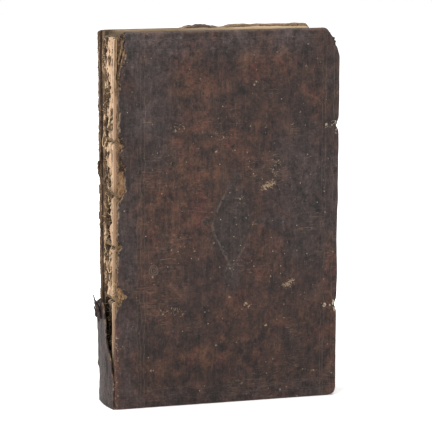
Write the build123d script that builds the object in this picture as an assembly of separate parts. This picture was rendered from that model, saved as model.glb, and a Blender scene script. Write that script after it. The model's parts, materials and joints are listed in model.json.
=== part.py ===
from build123d import *
import math
import os

# An old leather-bound book that stands on its tail edge.
# X runs along the width: the spine is on the -X side and the fore-edge on the +X side.
# Y runs through the thickness: the front cover faces -Y and the back cover faces +Y.
# Z runs up, from the tail of the covers at 0 to their head.
# Most of the spine leather is lost, so the book has fanned open at its head: each cover leans
# outwards from the tail. All sizes are in millimetres.

# Overall sizes
book_height = 200.0
cover_width = 124.0
head_thickness = 38.0
tail_thickness = 31.0

# Covers
board_thickness = 3.4
leather_thickness = 0.9
turn_in_thickness = 0.5
turn_in_width = 14.0
pastedown_thickness = 0.3
pastedown_margin = 4.0
worn_head_corner_width = 7.5
worn_head_corner_height = 14.0
worn_head_corner_bulge = 1.1
worn_tail_corner_radius = 4.0
spine_edge_wear = 1.2

# Ties at the fore-edge, of which only the stubs in their slots are left
tie_heights = (50.0, 148.0)
tie_inset = 7.0
tie_width = 5.0
tie_thickness = 1.6
tie_notch_radius = 3.0
tie_notch_depth = 1.3

# Text block
square = 2.6
page_clearance = 0.3
spine_recess = 0.5
gathering_count = 5
gathering_fold_depth = 1.5

# Sewing cords, sawn into the folds, and their slips under the leather of the boards
cord_heights = (58.0, 86.0, 114.0, 142.0)
cord_diameter = 2.6
cord_clearance = 0.15
slip_length = 15.0
slip_width = 5.0
slip_thickness = 0.8

# What is left at the spine
spine_reach = 4.0
spine_leather_height = 57.5
spine_leather_thickness = 0.9
spine_leather_tail_reach = 3.0
spine_leather_top_reach = 3.5
spine_joint_clearance = 0.5
spine_floor_clearance = 0.1
bridge_height = 18.0
joint_strip_foot = 166.0
joint_strip_thickness = 0.6
loose_strip_clearance = 0.1
loose_strip_height = 121.0
loose_strip_width = 3.4
loose_strip_thickness = 0.8
loose_strip_slope = 30.0
loose_strip_lift = 2.6

# Values that follow from the sizes above
overall_width = cover_width + spine_reach
fore_edge_x = overall_width / 2
spine_edge_x = fore_edge_x - cover_width
lean = math.degrees(math.atan((head_thickness - tail_thickness) / 2 / book_height))
leather_and_board = leather_thickness + board_thickness
cover_thickness = leather_and_board + turn_in_thickness + pastedown_thickness
trim_allowance = cover_thickness * math.tan(math.radians(lean)) + 0.1
board_head = book_height - leather_thickness
board_fore_edge = cover_width - leather_thickness


def thickness_at(height):
    """Thickness over both covers at a height above the tail."""
    return tail_thickness + (head_thickness - tail_thickness) * height / book_height


def text_half_thickness(height):
    """Half the thickness of the text block at a height, clear of both pastedowns."""
    cover_in_y = cover_thickness / math.cos(math.radians(lean))
    return thickness_at(height) / 2 - cover_in_y - page_clearance


# A cover is drawn flat: X from its spine edge, Y from its tail, and its outer face at Z = 0
# with the thickness below it. The front cover's plane then leans it into place.
front_plane = Plane(
    origin=(spine_edge_x, -tail_thickness / 2, 0),
    x_dir=(1, 0, 0),
    z_dir=(0, -math.cos(math.radians(lean)), -math.sin(math.radians(lean))),
)


def place_front(solid):
    return solid.moved(front_plane.location)


def place_back(solid):
    return mirror(place_front(solid), about=Plane.XZ)


def tie_notches():
    """Worn scoops in the fore-edge where the ties rubbed."""
    centre_x = cover_width + tie_notch_radius - tie_notch_depth
    return [Pos(centre_x, height) * Circle(tie_notch_radius) for height in tie_heights]


def tie_slots(depth_top, depth_bottom):
    """The slots through a cover, between two depths below its outer face."""
    depth = depth_bottom - depth_top
    middle = -(depth_top + depth_bottom) / 2
    slot = Box(tie_thickness, tie_width, depth)
    return [Pos(cover_width - tie_inset, height, middle) * slot for height in tie_heights]


def fore_edge_outline(head, tail, fore_edge, spine_points):
    """Cover outline: worn head corner, rounded tail corner, and a given spine edge from head to tail."""
    corner_start = (fore_edge - worn_head_corner_width, head)
    corner_end = (fore_edge, head - worn_head_corner_height)
    diagonal = math.hypot(worn_head_corner_width, worn_head_corner_height)
    out_x = worn_head_corner_height / diagonal * worn_head_corner_bulge
    out_y = worn_head_corner_width / diagonal * worn_head_corner_bulge
    corner_middle = (
        (corner_start[0] + corner_end[0]) / 2 + out_x,
        (corner_start[1] + corner_end[1]) / 2 + out_y,
    )
    tail_start = (fore_edge, tail + worn_tail_corner_radius)
    tail_end = (fore_edge - worn_tail_corner_radius, tail)
    edges = [
        Line(spine_points[0], corner_start),
        ThreePointArc(corner_start, corner_middle, corner_end),
        Line(corner_end, tail_start),
        RadiusArc(tail_start, tail_end, worn_tail_corner_radius),
        Line(tail_end, spine_points[-1]),
    ]
    for upper, lower in zip(spine_points, spine_points[1:]):
        edges.append(Line(upper, lower))
    outline = make_face(edges)
    for notch in tie_notches():
        outline -= notch
    return outline


def board_outline():
    spine_points = [(0, board_head), (0, leather_thickness)]
    return fore_edge_outline(board_head, leather_thickness, board_fore_edge, spine_points)


def slip_channels():
    """The slips, which fill their channels in the outer face of a board, from its spine edge."""
    slip = Box(slip_length, slip_width, slip_thickness)
    centre_depth = -leather_thickness - slip_thickness / 2
    return [Pos(slip_length / 2, height, centre_depth) * slip for height in cord_heights]


def make_board():
    board = extrude(Pos(0, 0, -leather_thickness) * board_outline(), amount=-board_thickness)
    for slot in tie_slots(leather_thickness, leather_and_board):
        board -= slot
    for slip in slip_channels():
        board -= slip
    return board


def leather_window():
    """Opening inside the turn-ins. It is open at the spine edge, where nothing was turned in."""
    width = cover_width - turn_in_width
    height = book_height - 2 * turn_in_width
    return Pos(width / 2, book_height / 2) * Rectangle(width, height)


def make_leather(spine_points, losses):
    """Covering leather: outer face, wrapped edges and turn-ins, around the board."""
    outline = fore_edge_outline(book_height, -trim_allowance, cover_width, spine_points)
    for loss in losses:
        outline -= loss
    leather = extrude(outline, amount=-(leather_and_board + turn_in_thickness))
    board_space = extrude(Pos(0, 0, -leather_thickness) * board_outline(), amount=-board_thickness)
    leather -= board_space
    window = Pos(0, 0, -leather_and_board) * leather_window()
    leather -= extrude(window, amount=-turn_in_thickness)
    for slot in tie_slots(0, leather_and_board):
        leather -= slot
    return leather


def make_pastedown():
    """Paper pasted over the turn-ins and down the step onto the bare board inside them."""
    height = book_height - 2 * pastedown_margin
    width = cover_width - pastedown_margin - spine_edge_wear
    sheet = Pos(width / 2 + spine_edge_wear, book_height / 2) * Rectangle(width, height)
    window = leather_window() & sheet
    well_width = cover_width - turn_in_width - pastedown_thickness
    well_height = book_height - 2 * turn_in_width - 2 * pastedown_thickness
    well = Pos(well_width / 2, book_height / 2) * Rectangle(well_width, well_height)
    inner_face = -leather_and_board
    over_turn_ins = extrude(Pos(0, 0, inner_face - turn_in_thickness) * sheet, amount=-pastedown_thickness)
    into_window = extrude(Pos(0, 0, inner_face) * window, amount=-turn_in_thickness)
    hollow = extrude(Pos(0, 0, inner_face - pastedown_thickness) * well, amount=-turn_in_thickness)
    return over_turn_ins + into_window - hollow


def trim_tail(solid):
    """Cut a leaning cover piece level at the tail."""
    below = Pos(0, 0, -book_height / 2) * Box(2 * overall_width, 2 * head_thickness, book_height)
    return solid - below


def text_block_section(height):
    """Text block outline at a height: straight edges, and one rounded fold for each gathering."""
    half = text_half_thickness(height)
    fold_tip = spine_edge_x + spine_recess
    valley = fold_tip + gathering_fold_depth
    fore_edge = fore_edge_x - square
    pitch = 2 * half / gathering_count
    edges = [
        Line((valley, half), (fore_edge, half)),
        Line((fore_edge, half), (fore_edge, -half)),
        Line((fore_edge, -half), (valley, -half)),
    ]
    for fold in range(gathering_count):
        start = -half + fold * pitch
        edges.append(ThreePointArc((valley, start), (fold_tip, start + pitch / 2), (valley, start + pitch)))
    return Pos(0, 0, height) * make_face(edges)


def cord_rod(height, radius):
    """A rod across the spine, level with the tips of the folds."""
    length = 2 * text_half_thickness(height)
    centre_x = spine_edge_x + spine_recess + cord_diameter / 2
    return Pos(centre_x, 0, height) * Rot(90, 0, 0) * Cylinder(radius, length)


def cord_groove(height):
    """The sawn groove for a cord, open at the spine side and past both faces."""
    radius = cord_diameter / 2 + cord_clearance
    centre_x = spine_edge_x + spine_recess + cord_diameter / 2
    round_end = Pos(centre_x, 0, height) * Rot(90, 0, 0) * Cylinder(radius, head_thickness)
    mouth_depth = cord_diameter
    mouth = Pos(centre_x - mouth_depth / 2, 0, height) * Box(mouth_depth, head_thickness, 2 * radius)
    return round_end + mouth


def make_text_block():
    tail_section = text_block_section(square)
    head_section = text_block_section(book_height - square)
    block = loft([tail_section, head_section], ruled=True)
    for height in cord_heights:
        block -= cord_groove(height)
    return block


def spine_leather_section(height, end_reach, middle_reach):
    """Curved strip across the spine at a height. Each reach is from the boards' spine edge outwards."""
    end_y = tail_thickness / 2 - spine_joint_clearance
    outer_end_x = spine_edge_x - end_reach
    inner_end_x = outer_end_x + spine_leather_thickness
    outer_middle_x = spine_edge_x - middle_reach
    inner_middle_x = outer_middle_x + spine_leather_thickness
    edges = [
        ThreePointArc((outer_end_x, end_y), (outer_middle_x, 0), (outer_end_x, -end_y)),
        Line((outer_end_x, -end_y), (inner_end_x, -end_y)),
        ThreePointArc((inner_end_x, -end_y), (inner_middle_x, 0), (inner_end_x, end_y)),
        Line((inner_end_x, end_y), (outer_end_x, end_y)),
    ]
    return Pos(0, 0, height) * make_face(edges)


def make_spine_leather():
    """What is left of the spine leather: whole at the tail, and a torn flap up the back half."""
    tail_end_reach = spine_joint_clearance + spine_leather_thickness
    bottom = spine_leather_section(spine_floor_clearance, tail_end_reach, spine_leather_tail_reach)
    top = spine_leather_section(spine_leather_height, spine_reach, spine_leather_top_reach)
    leather = loft([bottom, top], ruled=True)
    half = tail_thickness / 2
    torn_edge = [
        (-1.1 * half, bridge_height),
        (-0.62 * half, 1.08 * bridge_height),
        (-0.40 * half, 1.9 * bridge_height),
        (-0.05 * half, 2.4 * bridge_height),
        (0.30 * half, 2.95 * bridge_height),
        (0.48 * half, 0.99 * spine_leather_height),
        (0.62 * half, 0.94 * spine_leather_height),
        (0.80 * half, 1.1 * spine_leather_height),
        (-1.1 * half, 1.1 * spine_leather_height),
    ]
    lost = Plane.YZ * make_face(Polyline(*torn_edge, close=True))
    return leather - extrude(lost, amount=overall_width, both=True)


def make_joint_strip():
    """Torn leather that still clings to the spine edge of the front board, at the head."""
    height = board_head - joint_strip_foot
    centre_height = (board_head + joint_strip_foot) / 2
    centre_depth = -leather_thickness - board_thickness / 2
    strip = Box(joint_strip_thickness, height, board_thickness)
    return Pos(-joint_strip_thickness / 2, centre_height, centre_depth) * strip


def make_loose_strip():
    """A torn strip that lies aslant over the folds, with its back end lifted."""
    half = text_half_thickness(loose_strip_height)
    length = 2 * half / math.cos(math.radians(loose_strip_slope))
    lift_angle = math.degrees(math.asin(loose_strip_lift / length))
    strip = Box(loose_strip_thickness, length, loose_strip_width)
    inner_x = spine_edge_x + spine_recess - loose_strip_clearance
    centre_x = inner_x - (loose_strip_thickness + loose_strip_lift) / 2
    turned_strip = Rot(loose_strip_slope, 0, 0) * Rot(0, 0, lift_angle) * strip
    return Pos(centre_x, 0, loose_strip_height) * turned_strip


def spine_edge_points(lost_height):
    """Torn spine edge of the covering leather, from head to tail, down to a height above the tail."""
    return [
        (5.0, book_height),
        (5.5, 0.93 * book_height),
        (2.2, 0.90 * book_height),
        (1.6, 0.75 * book_height),
        (4.6, 0.72 * book_height),
        (2.0, 0.68 * book_height),
        (4.8, 0.65 * book_height),
        (4.2, 0.58 * book_height),
        (1.8, 0.55 * book_height),
        (1.6, 0.46 * book_height),
        (3.2, 0.44 * book_height),
        (1.7, 0.41 * book_height),
        (4.6, lost_height),
        (spine_edge_wear, 0.92 * lost_height),
        (spine_edge_wear, -trim_allowance),
    ]


def back_head_losses():
    """Where the leather is worn off the head edge of the back cover, on either side of a remnant."""
    long_loss = Pos(0.19 * cover_width, book_height) * Rectangle(0.38 * cover_width, 6 * leather_thickness)
    short_loss = Pos(0.55 * cover_width, book_height) * Rectangle(0.07 * cover_width, 4 * leather_thickness)
    return [long_loss, short_loss]


spine_edge = spine_edge_points(spine_leather_height + 4)
front_leather = trim_tail(place_front(make_leather(spine_edge, [])))
back_leather = trim_tail(place_back(make_leather(spine_edge, back_head_losses())))
nodes = {
    "text_block": make_text_block(),
    "front_board": place_front(make_board()),
    "back_board": place_back(make_board()),
    "front_leather": front_leather,
    "back_leather": back_leather,
    "front_pastedown": place_front(make_pastedown()),
    "back_pastedown": place_back(make_pastedown()),
    "front_lacing_slips": place_front(Compound(children=slip_channels())),
    "back_lacing_slips": place_back(Compound(children=slip_channels())),
    "front_tie_stubs": place_front(Compound(children=tie_slots(0, leather_and_board))),
    "back_tie_stubs": place_back(Compound(children=tie_slots(0, leather_and_board))),
    "spine_leather": make_spine_leather(),
    "front_joint_strip": place_front(make_joint_strip()),
    "loose_strip": make_loose_strip(),
}
for number, height in enumerate(cord_heights, start=1):
    nodes[f"sewing_cord_{number}"] = cord_rod(height, cord_diameter / 2)

os.makedirs("parts", exist_ok=True)
for name, shape in nodes.items():
    export_step(shape, f"parts/{name}.step")

hinge_y = thickness_at(book_height / 2) / 2
print("spine edge x", round(spine_edge_x, 3), "hinge y", round(hinge_y, 3), "lean", round(lean, 3))
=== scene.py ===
# %% [markdown]
# # An old leather book that has lost its spine
# The book stands on its tail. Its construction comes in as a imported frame: every sub-part is there at its
# real size, and the joints are known. This lesson dresses that frame: it makes a detailed surface for each
# piece, in the frame's own coordinates, and a procedural finish for each material.

# %% Load the frame
import bpy
import bmesh
import json
import numpy as np
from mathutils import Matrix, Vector
from types import SimpleNamespace


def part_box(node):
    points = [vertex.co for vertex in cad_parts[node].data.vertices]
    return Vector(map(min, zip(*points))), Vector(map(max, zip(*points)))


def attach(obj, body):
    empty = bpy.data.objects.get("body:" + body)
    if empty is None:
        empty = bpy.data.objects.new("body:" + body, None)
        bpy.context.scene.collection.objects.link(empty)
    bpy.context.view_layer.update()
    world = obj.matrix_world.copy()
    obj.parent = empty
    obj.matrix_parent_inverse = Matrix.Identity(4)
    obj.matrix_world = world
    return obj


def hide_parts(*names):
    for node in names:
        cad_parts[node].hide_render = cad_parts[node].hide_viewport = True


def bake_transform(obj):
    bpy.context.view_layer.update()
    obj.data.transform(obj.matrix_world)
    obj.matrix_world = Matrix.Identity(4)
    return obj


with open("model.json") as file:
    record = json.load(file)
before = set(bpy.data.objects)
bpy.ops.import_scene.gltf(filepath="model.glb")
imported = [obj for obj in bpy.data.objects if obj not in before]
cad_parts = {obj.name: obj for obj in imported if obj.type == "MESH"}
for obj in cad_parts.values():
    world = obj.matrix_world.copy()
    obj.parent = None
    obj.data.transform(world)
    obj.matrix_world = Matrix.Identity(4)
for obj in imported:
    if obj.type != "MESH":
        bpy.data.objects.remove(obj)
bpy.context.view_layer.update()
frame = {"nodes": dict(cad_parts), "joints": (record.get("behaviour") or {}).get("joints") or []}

# %% [markdown]
# ## Measures
# Sizes are read from the frame, so the surfaces follow it. The two covers lean outwards from the tail. A
# cover's half thickness at mid height is where its joint lies, and its lean follows from the head.

# %% Measures of the book, in millimetres
MM = 0.001
spine_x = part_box("front_board")[0].x / MM
fore_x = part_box("front_leather")[1].x / MM
cover_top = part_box("front_leather")[1].z / MM
head_half = -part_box("front_leather")[0].y / MM
mid_half = abs(frame["joints"][0]["pos_m"][1]) / MM
leather_wall = 0.9
board_back = 4.3
leather_back = 4.8
pastedown_back = 5.1
cover_width = fore_x - spine_x
tail_half = 2 * mid_half - head_half
lean = np.arctan((head_half - tail_half) / cover_top)
cover_height = (cover_top - leather_back * np.sin(lean)) / np.cos(lean)
text_gap = 0.3
square = 2.6
tie_heights = (50, 148)
cord_heights = (58, 86, 114, 142)
cover_sides = {"front_cover": 1, "back_cover": -1}
print("cover %.1f by %.1f mm, lean %.2f degrees" % (cover_width, cover_height, np.degrees(lean)))

# %% [markdown]
# ## Camera, floor and light
# The camera stands off to the spine side and a little above the book, with a long lens, so that the
# uprights stay nearly parallel. A pale floor, a pale surround and four large soft lights give the
# even light of a studio.

# %% Camera
scene = bpy.context.scene
scene.view_settings.view_transform = "Standard"
camera_data = bpy.data.cameras.new("camera")
camera_data.sensor_width = 36
camera_data.lens = 209.4
camera_data.clip_end = 20
camera = bpy.data.objects.new("camera", camera_data)
scene.collection.objects.link(camera)
azimuth, elevation = np.radians(-17.82), np.radians(8.44)
towards_camera = Vector((
    np.sin(azimuth) * np.cos(elevation),
    -np.cos(azimuth) * np.cos(elevation),
    np.sin(elevation),
))
camera.location = Vector((-407.7, -1269.6, 296.9)) * MM
camera.rotation_euler = towards_camera.to_track_quat("Z", "Y").to_euler()
scene.camera = camera
print("camera at", [round(v, 3) for v in camera.location])


# %% Lights
aim = Vector((0, 0, cover_height / 2)) * MM


def soft_light(name, place, size, watts, colour=(1, 1, 1)):
    """A square area light at a place, turned to the middle of the book."""
    data = bpy.data.lights.new(name, "AREA")
    data.size = size
    data.energy = watts
    data.color = colour
    light = bpy.data.objects.new(name, data)
    light.location = place
    light.rotation_euler = (Vector(place) - aim).to_track_quat("Z", "Y").to_euler()
    scene.collection.objects.link(light)
    return light


soft_light("key", (-0.9, -0.9, 1.15), 0.55, 13.0, (1, 0.985, 0.96))
soft_light("fill", (1.0, -0.9, 0.5), 0.9, 3.5, (0.96, 0.98, 1))
soft_light("top", (0.0, 0.1, 1.6), 1.2, 26.0)
soft_light("spine", (-1.3, -0.25, 0.55), 0.5, 6.0, (1, 0.98, 0.95))

# %% Surround
surround_strength = 0.4
world = bpy.data.worlds.new("surround")
world.use_nodes = True
world_nodes = world.node_tree.nodes
world_links = world.node_tree.links
seen = world_nodes["Background"]
lit = world_nodes.new("ShaderNodeBackground")
ray = world_nodes.new("ShaderNodeLightPath")
either = world_nodes.new("ShaderNodeMixShader")
for background, strength in ((seen, 1.0), (lit, surround_strength)):
    background.inputs["Color"].default_value = (1, 1, 1, 1)
    background.inputs["Strength"].default_value = strength
world_links.new(ray.outputs["Is Camera Ray"], either.inputs[0])
world_links.new(lit.outputs[0], either.inputs[1])
world_links.new(seen.outputs[0], either.inputs[2])
world_links.new(either.outputs[0], world_nodes["World Output"].inputs["Surface"])
scene.world = world
print("lights:", len(bpy.data.lights), "and a white surround")

# %% [markdown]
# ## A way to write shaders
# A finish is a sum of masks and colours. Written as nodes it is hard to read, so one small class wraps a
# socket, and Python's own operators add the Math nodes. Every other node comes from its `node` method.


# %% Shader expressions
class Signal:
    """An output of a shader's node tree. Arithmetic on it adds Math nodes."""

    def __init__(self, tree, socket=None):
        self.tree = tree
        self.socket = socket

    def node(self, kind, settings=None, inputs=None, output=0):
        """Adds a node: its settings first, then the values or links of its sockets."""
        node = self.tree.nodes.new(kind)
        for name, value in (settings or {}).items():
            setattr(node, name, value)
        for name, value in (inputs or {}).items():
            if isinstance(value, Signal):
                self.tree.links.new(value.socket, node.inputs[name])
            else:
                node.inputs[name].default_value = value
        return Signal(self.tree, node.outputs[output] if len(node.outputs) else None)

    def maths(self, operation, *values, clamp=False):
        """Adds one Math node."""
        settings = {"operation": operation, "use_clamp": clamp}
        return self.node("ShaderNodeMath", settings, dict(enumerate(values)))

    def __add__(self, other):
        return self.maths("ADD", self, other)

    def __sub__(self, other):
        return self.maths("SUBTRACT", self, other)

    def __rsub__(self, other):
        return self.maths("SUBTRACT", other, self)

    def __mul__(self, other):
        return self.maths("MULTIPLY", self, other)

    def __truediv__(self, other):
        return self.maths("DIVIDE", self, other)

    __radd__ = __add__
    __rmul__ = __mul__

    def above(self, low, high):
        """0 below low, 1 above high, and a smooth step between. low may be the larger."""
        settings = {"interpolation_type": "SMOOTHSTEP"}
        return self.node("ShaderNodeMapRange", settings, {"Value": self, "From Min": low, "From Max": high})

    def size(self):
        """The number without its sign."""
        return self.maths("ABSOLUTE", self)

    def power(self, exponent):
        return self.maths("POWER", self, exponent)

    def root(self):
        return self.maths("SQRT", self)


def clamp(signal):
    """Keeps a signal from 0 to 1."""
    return signal.maths("ADD", signal, 0, clamp=True)


def larger(one, *others):
    for other in others:
        one = one.maths("MAXIMUM", one, other)
    return one


def smaller(one, other):
    return one.maths("MINIMUM", one, other)


def blend_colour(one, other, share):
    """A colour between two, as colours or signals, by a share from 0 to 1."""
    inputs = {0: share, 6: as_colour(one), 7: as_colour(other)}
    return share.node("ShaderNodeMix", {"data_type": "RGBA"}, inputs, output=2)


def as_colour(value):
    """A signal as it is, or three numbers as a colour."""
    return value if isinstance(value, Signal) else (*value, 1)


def scaled_colour(colour, brightness):
    """A colour made lighter or darker by a signal, through Vector Math so that it keeps its hue."""
    inputs = {0: colour, "Scale": brightness}
    return brightness.node("ShaderNodeVectorMath", {"operation": "SCALE"}, inputs)


def layered(colour, *coats):
    """Coats laid over a colour, one after another. Each is a colour and the share of it that covers."""
    for coat, share in coats:
        colour = blend_colour(colour, coat, share)
    return colour


# %% [markdown]
# ## Patterns in millimetres
# Every pattern reads Object coordinates in millimetres, so that a value such as 0.7 is the real size of a
# grain. `stretched` squeezes or stretches the coordinates before a pattern reads them.


# %% Coordinates and patterns for shaders
def object_place(tree):
    """Object coordinates in millimetres."""
    start = Signal(tree)
    place = start.node("ShaderNodeTexCoord", output=3)
    return start.node("ShaderNodeVectorMath", {"operation": "SCALE"}, {0: place, "Scale": 1 / MM})


def split(place):
    """The x, y and z of a place."""
    return [place.node("ShaderNodeSeparateXYZ", {}, {0: place}, output=axis) for axis in range(3)]


def as_place(x, y, z):
    """Three signals as one place."""
    return x.node("ShaderNodeCombineXYZ", {}, {0: x, 1: y, 2: z})


def stretched(place, scale, offset=(0, 0, 0)):
    """A place multiplied axis by axis and then moved. A factor below 1 makes a pattern longer that way."""
    inputs = {"Vector": place, "Scale": scale, "Location": offset}
    return place.node("ShaderNodeMapping", {}, inputs)


def cloud(place, size, detail=4.0, roughness=0.55, distortion=0.0):
    """Noise from 0 to 1, with patches of about a size in millimetres."""
    inputs = {"Vector": place, "Scale": 1 / size, "Detail": detail, "Roughness": roughness,
              "Distortion": distortion}
    return place.node("ShaderNodeTexNoise", {}, inputs)


def cells(place, size, output=0):
    """Voronoi cells of about a size in millimetres. Output 0 is a distance and 1 a colour for each cell."""
    return place.node("ShaderNodeTexVoronoi", {}, {"Vector": place, "Scale": 1 / size}, output=output)


def mesh_mask(tree, name):
    """A number that is stored at each vertex of the piece."""
    return Signal(tree).node("ShaderNodeAttribute", {"attribute_name": name}, output=2)


def read_masks(tree, *names):
    """Several of those numbers, each under its own name."""
    return SimpleNamespace(**{name: mesh_mask(tree, name) for name in names})


def finish_material(name, colour, roughness, height, specular):
    """Ends a material: colour and roughness signals, and a height in millimetres that becomes the bump."""
    tree = colour.tree
    bump = colour.node("ShaderNodeBump", {}, {"Height": height, "Distance": MM, "Strength": 1.0})
    inputs = {"Base Color": colour, "Roughness": roughness, "Normal": bump, "Specular IOR Level": specular}
    surface = colour.node("ShaderNodeBsdfPrincipled", {}, inputs)
    colour.node("ShaderNodeOutputMaterial", {}, {"Surface": surface})
    print("material", name, "has", len(tree.nodes), "nodes")


def new_tree(name):
    """An empty material and its node tree."""
    material = bpy.data.materials.new(name)
    material.use_nodes = True
    material.node_tree.nodes.clear()
    return material, material.node_tree


# %% [markdown]
# ## Smooth noise for shapes
# Paper and old leather are never flat. Shapes get their unevenness from noise worked out with numpy, from a
# seeded table of random heights, so the result is the same on every run.

# %% Noise and curves in numpy
lattice_size = 256
lattice = np.random.default_rng(11).uniform(-1, 1, (lattice_size, lattice_size))


def lattice_noise(x, y):
    """Random heights on a square lattice, eased between with 3t^2 - 2t^3."""
    x, y = np.broadcast_arrays(np.asarray(x, float), np.asarray(y, float))
    left, low = np.floor(x).astype(int), np.floor(y).astype(int)
    across, up = x - left, y - low
    across, up = across**2 * (3 - 2 * across), up**2 * (3 - 2 * up)
    column, next_column = left % lattice_size, (left + 1) % lattice_size
    row, next_row = low % lattice_size, (low + 1) % lattice_size
    bottom = lattice[row, column] * (1 - across) + lattice[row, next_column] * across
    top = lattice[next_row, column] * (1 - across) + lattice[next_row, next_column] * across
    return bottom * (1 - up) + top * up


def rough(x, y, octaves=4, seed=0):
    """Layers of lattice noise, each twice as fine and half as strong as the last, from about -1 to 1."""
    total = np.zeros(np.broadcast(x, y).shape)
    for octave in range(octaves):
        shift = 17.3 * octave + 37.7 * seed
        fine = 2**octave
        total = total + lattice_noise(np.asarray(x) * fine + shift, np.asarray(y) * fine + 1.7 * shift) / fine
    return total


def ease(value, low, high):
    """0 below low, 1 above high, and 3t^2 - 2t^3 between."""
    share = np.clip((np.asarray(value, float) - low) / (high - low), 0, 1)
    return share**2 * (3 - 2 * share)


def hump(value, centre, half_width):
    """1 in the middle and 0 beyond about a half width, with a flat top: exp(-(d/w)^4)."""
    return np.exp(-(((value - centre) / half_width) ** 4))


def bell(value, centre, width):
    """1 in the middle, falling off smoothly: exp(-(d/w)^2)."""
    return np.exp(-(((value - centre) / width) ** 2))


def fading(distance, reach):
    """1 up to a distance of 0, and falling off beyond it: exp(-d/reach)."""
    return np.exp(-np.clip(distance, 0, None) / reach)


def through_points(count, samples):
    """Weights (samples by count) that carry a Catmull-Rom curve through count control points."""
    place = np.linspace(0, count - 1, samples)
    first = np.minimum(place.astype(int), count - 2)
    t = place - first
    shape = 0.5 * np.stack([
        -t + 2 * t**2 - t**3,
        2 - 5 * t**2 + 3 * t**3,
        t + 4 * t**2 - 3 * t**3,
        t**3 - t**2,
    ])
    weights = np.zeros((samples, count))
    rows = np.arange(samples)
    for step in range(4):
        column = np.clip(first + step - 1, 0, count - 1)
        np.add.at(weights, (rows, column), shape[step])
    return weights


# %% [markdown]
# ## Meshes from grids
# A surface is a grid of points. Its faces are squares between neighbouring rows and columns, and shapes
# that close on themselves are several grids whose shared edges are welded.


# %% Mesh builders
def grid_quads(rows, columns, first=0, flip=False):
    """The squares of a grid of points, numbered row by row from first."""
    index = first + np.arange(rows * columns).reshape(rows, columns)
    quads = np.stack([index[:-1, :-1], index[:-1, 1:], index[1:, 1:], index[1:, :-1]], axis=-1).reshape(-1, 4)
    return quads[:, ::-1] if flip else quads


def build_mesh(name, points, quads, masks=None, weld=0.0):
    """A mesh object at the origin from points in millimetres and squares. masks are numbers kept at each
    point for the material to read. weld merges points that are closer than that."""
    mesh = bpy.data.meshes.new(name)
    points = np.ascontiguousarray(np.reshape(points, (-1, 3)) * MM, dtype=np.float32)
    quads = np.ascontiguousarray(quads, dtype=np.int32)
    mesh.vertices.add(len(points))
    mesh.vertices.foreach_set("co", points.ravel())
    mesh.loops.add(quads.size)
    mesh.loops.foreach_set("vertex_index", quads.ravel())
    mesh.polygons.add(len(quads))
    mesh.polygons.foreach_set("loop_start", np.arange(0, quads.size, 4, dtype=np.int32))
    mesh.update(calc_edges=True)
    for mask, values in (masks or {}).items():
        attribute = mesh.attributes.new(mask, "FLOAT", "POINT")
        attribute.data.foreach_set("value", np.ascontiguousarray(values, dtype=np.float32).ravel())
    piece = bpy.data.objects.new(name, mesh)
    scene.collection.objects.link(piece)
    if weld:
        work = bmesh.new()
        work.from_mesh(mesh)
        bmesh.ops.remove_doubles(work, verts=work.verts, dist=weld * MM)
        work.to_mesh(mesh)
        work.free()
    mesh.polygons.foreach_set("use_smooth", np.ones(len(mesh.polygons), dtype=bool))
    mesh.update()
    return piece


def thicken(piece, wall):
    """Gives an open surface a wall, on the side that its faces turn away from."""
    modifier = piece.modifiers.new("wall", "SOLIDIFY")
    modifier.thickness = wall * MM
    modifier.offset = -1
    return piece


def dress(piece, body, material, slot, *nodes):
    """Gives a piece its finish, its body and the nodes that it stands for. slot is not used."""
    piece.data.materials.append(material)
    if body:
        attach(piece, body)
    if nodes:
        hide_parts(*nodes)
    print(piece.name, "has", len(piece.data.polygons), "faces")
    return piece


def block_shell(shape, across, deep, up, flip=False):
    """Points, squares and unit places of a closed block. shape(u, v, w) carries the surface of the unit cube
    to the piece, and the three numbers are how many squares lie along each direction."""
    counts = (across, deep, up)
    places, quads, first = [], [], 0
    for axis in range(3):
        one, other = (axis + 1) % 3, (axis + 2) % 3
        rows, columns = np.meshgrid(
            np.linspace(0, 1, counts[other] + 1), np.linspace(0, 1, counts[one] + 1), indexing="ij"
        )
        for end in (0, 1):
            place = np.zeros(rows.shape + (3,))
            place[..., axis], place[..., one], place[..., other] = end, columns, rows
            places.append(place.reshape(-1, 3))
            quads.append(grid_quads(*rows.shape, first=first, flip=(end == 0) != flip))
            first += rows.size
    places = np.concatenate(places)
    return shape(*places.T), np.concatenate(quads), places


# %% [markdown]
# ## The outline of a cover
# A cover is worked out flat: x from its spine edge, z from its tail and a depth below its outer face. Then it
# is leaned into place, and the back cover is the mirror image of the front one. Old corners are soft, and the
# upper fore-edge corner is broken right off. Ties once rubbed two scoops into the fore-edge.

# %% Cover coordinates and outline
# Each corner: its height, the width and height of the box that it wears away in, and how deep it is cut.
worn_corners = (
    (cover_height, 8.4, 16.4, 0.485),
    (0.0, 4.6, 4.6, 0.29),
)
tie_notch_depth = 1.3
tie_notch_width = 2.4


def place_cover(x, z, depth, side):
    """Leans flat cover coordinates into the frame. side is 1 for the front cover and -1 for the back."""
    y = np.cos(lean) * depth - np.sin(lean) * z - tail_half
    return np.stack([spine_x + x, side * y, np.cos(lean) * z + np.sin(lean) * depth], axis=-1)


def face_y(z):
    """How far a cover's outer face lies from the middle of the book, at a height."""
    return tail_half + np.tan(lean) * z


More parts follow.
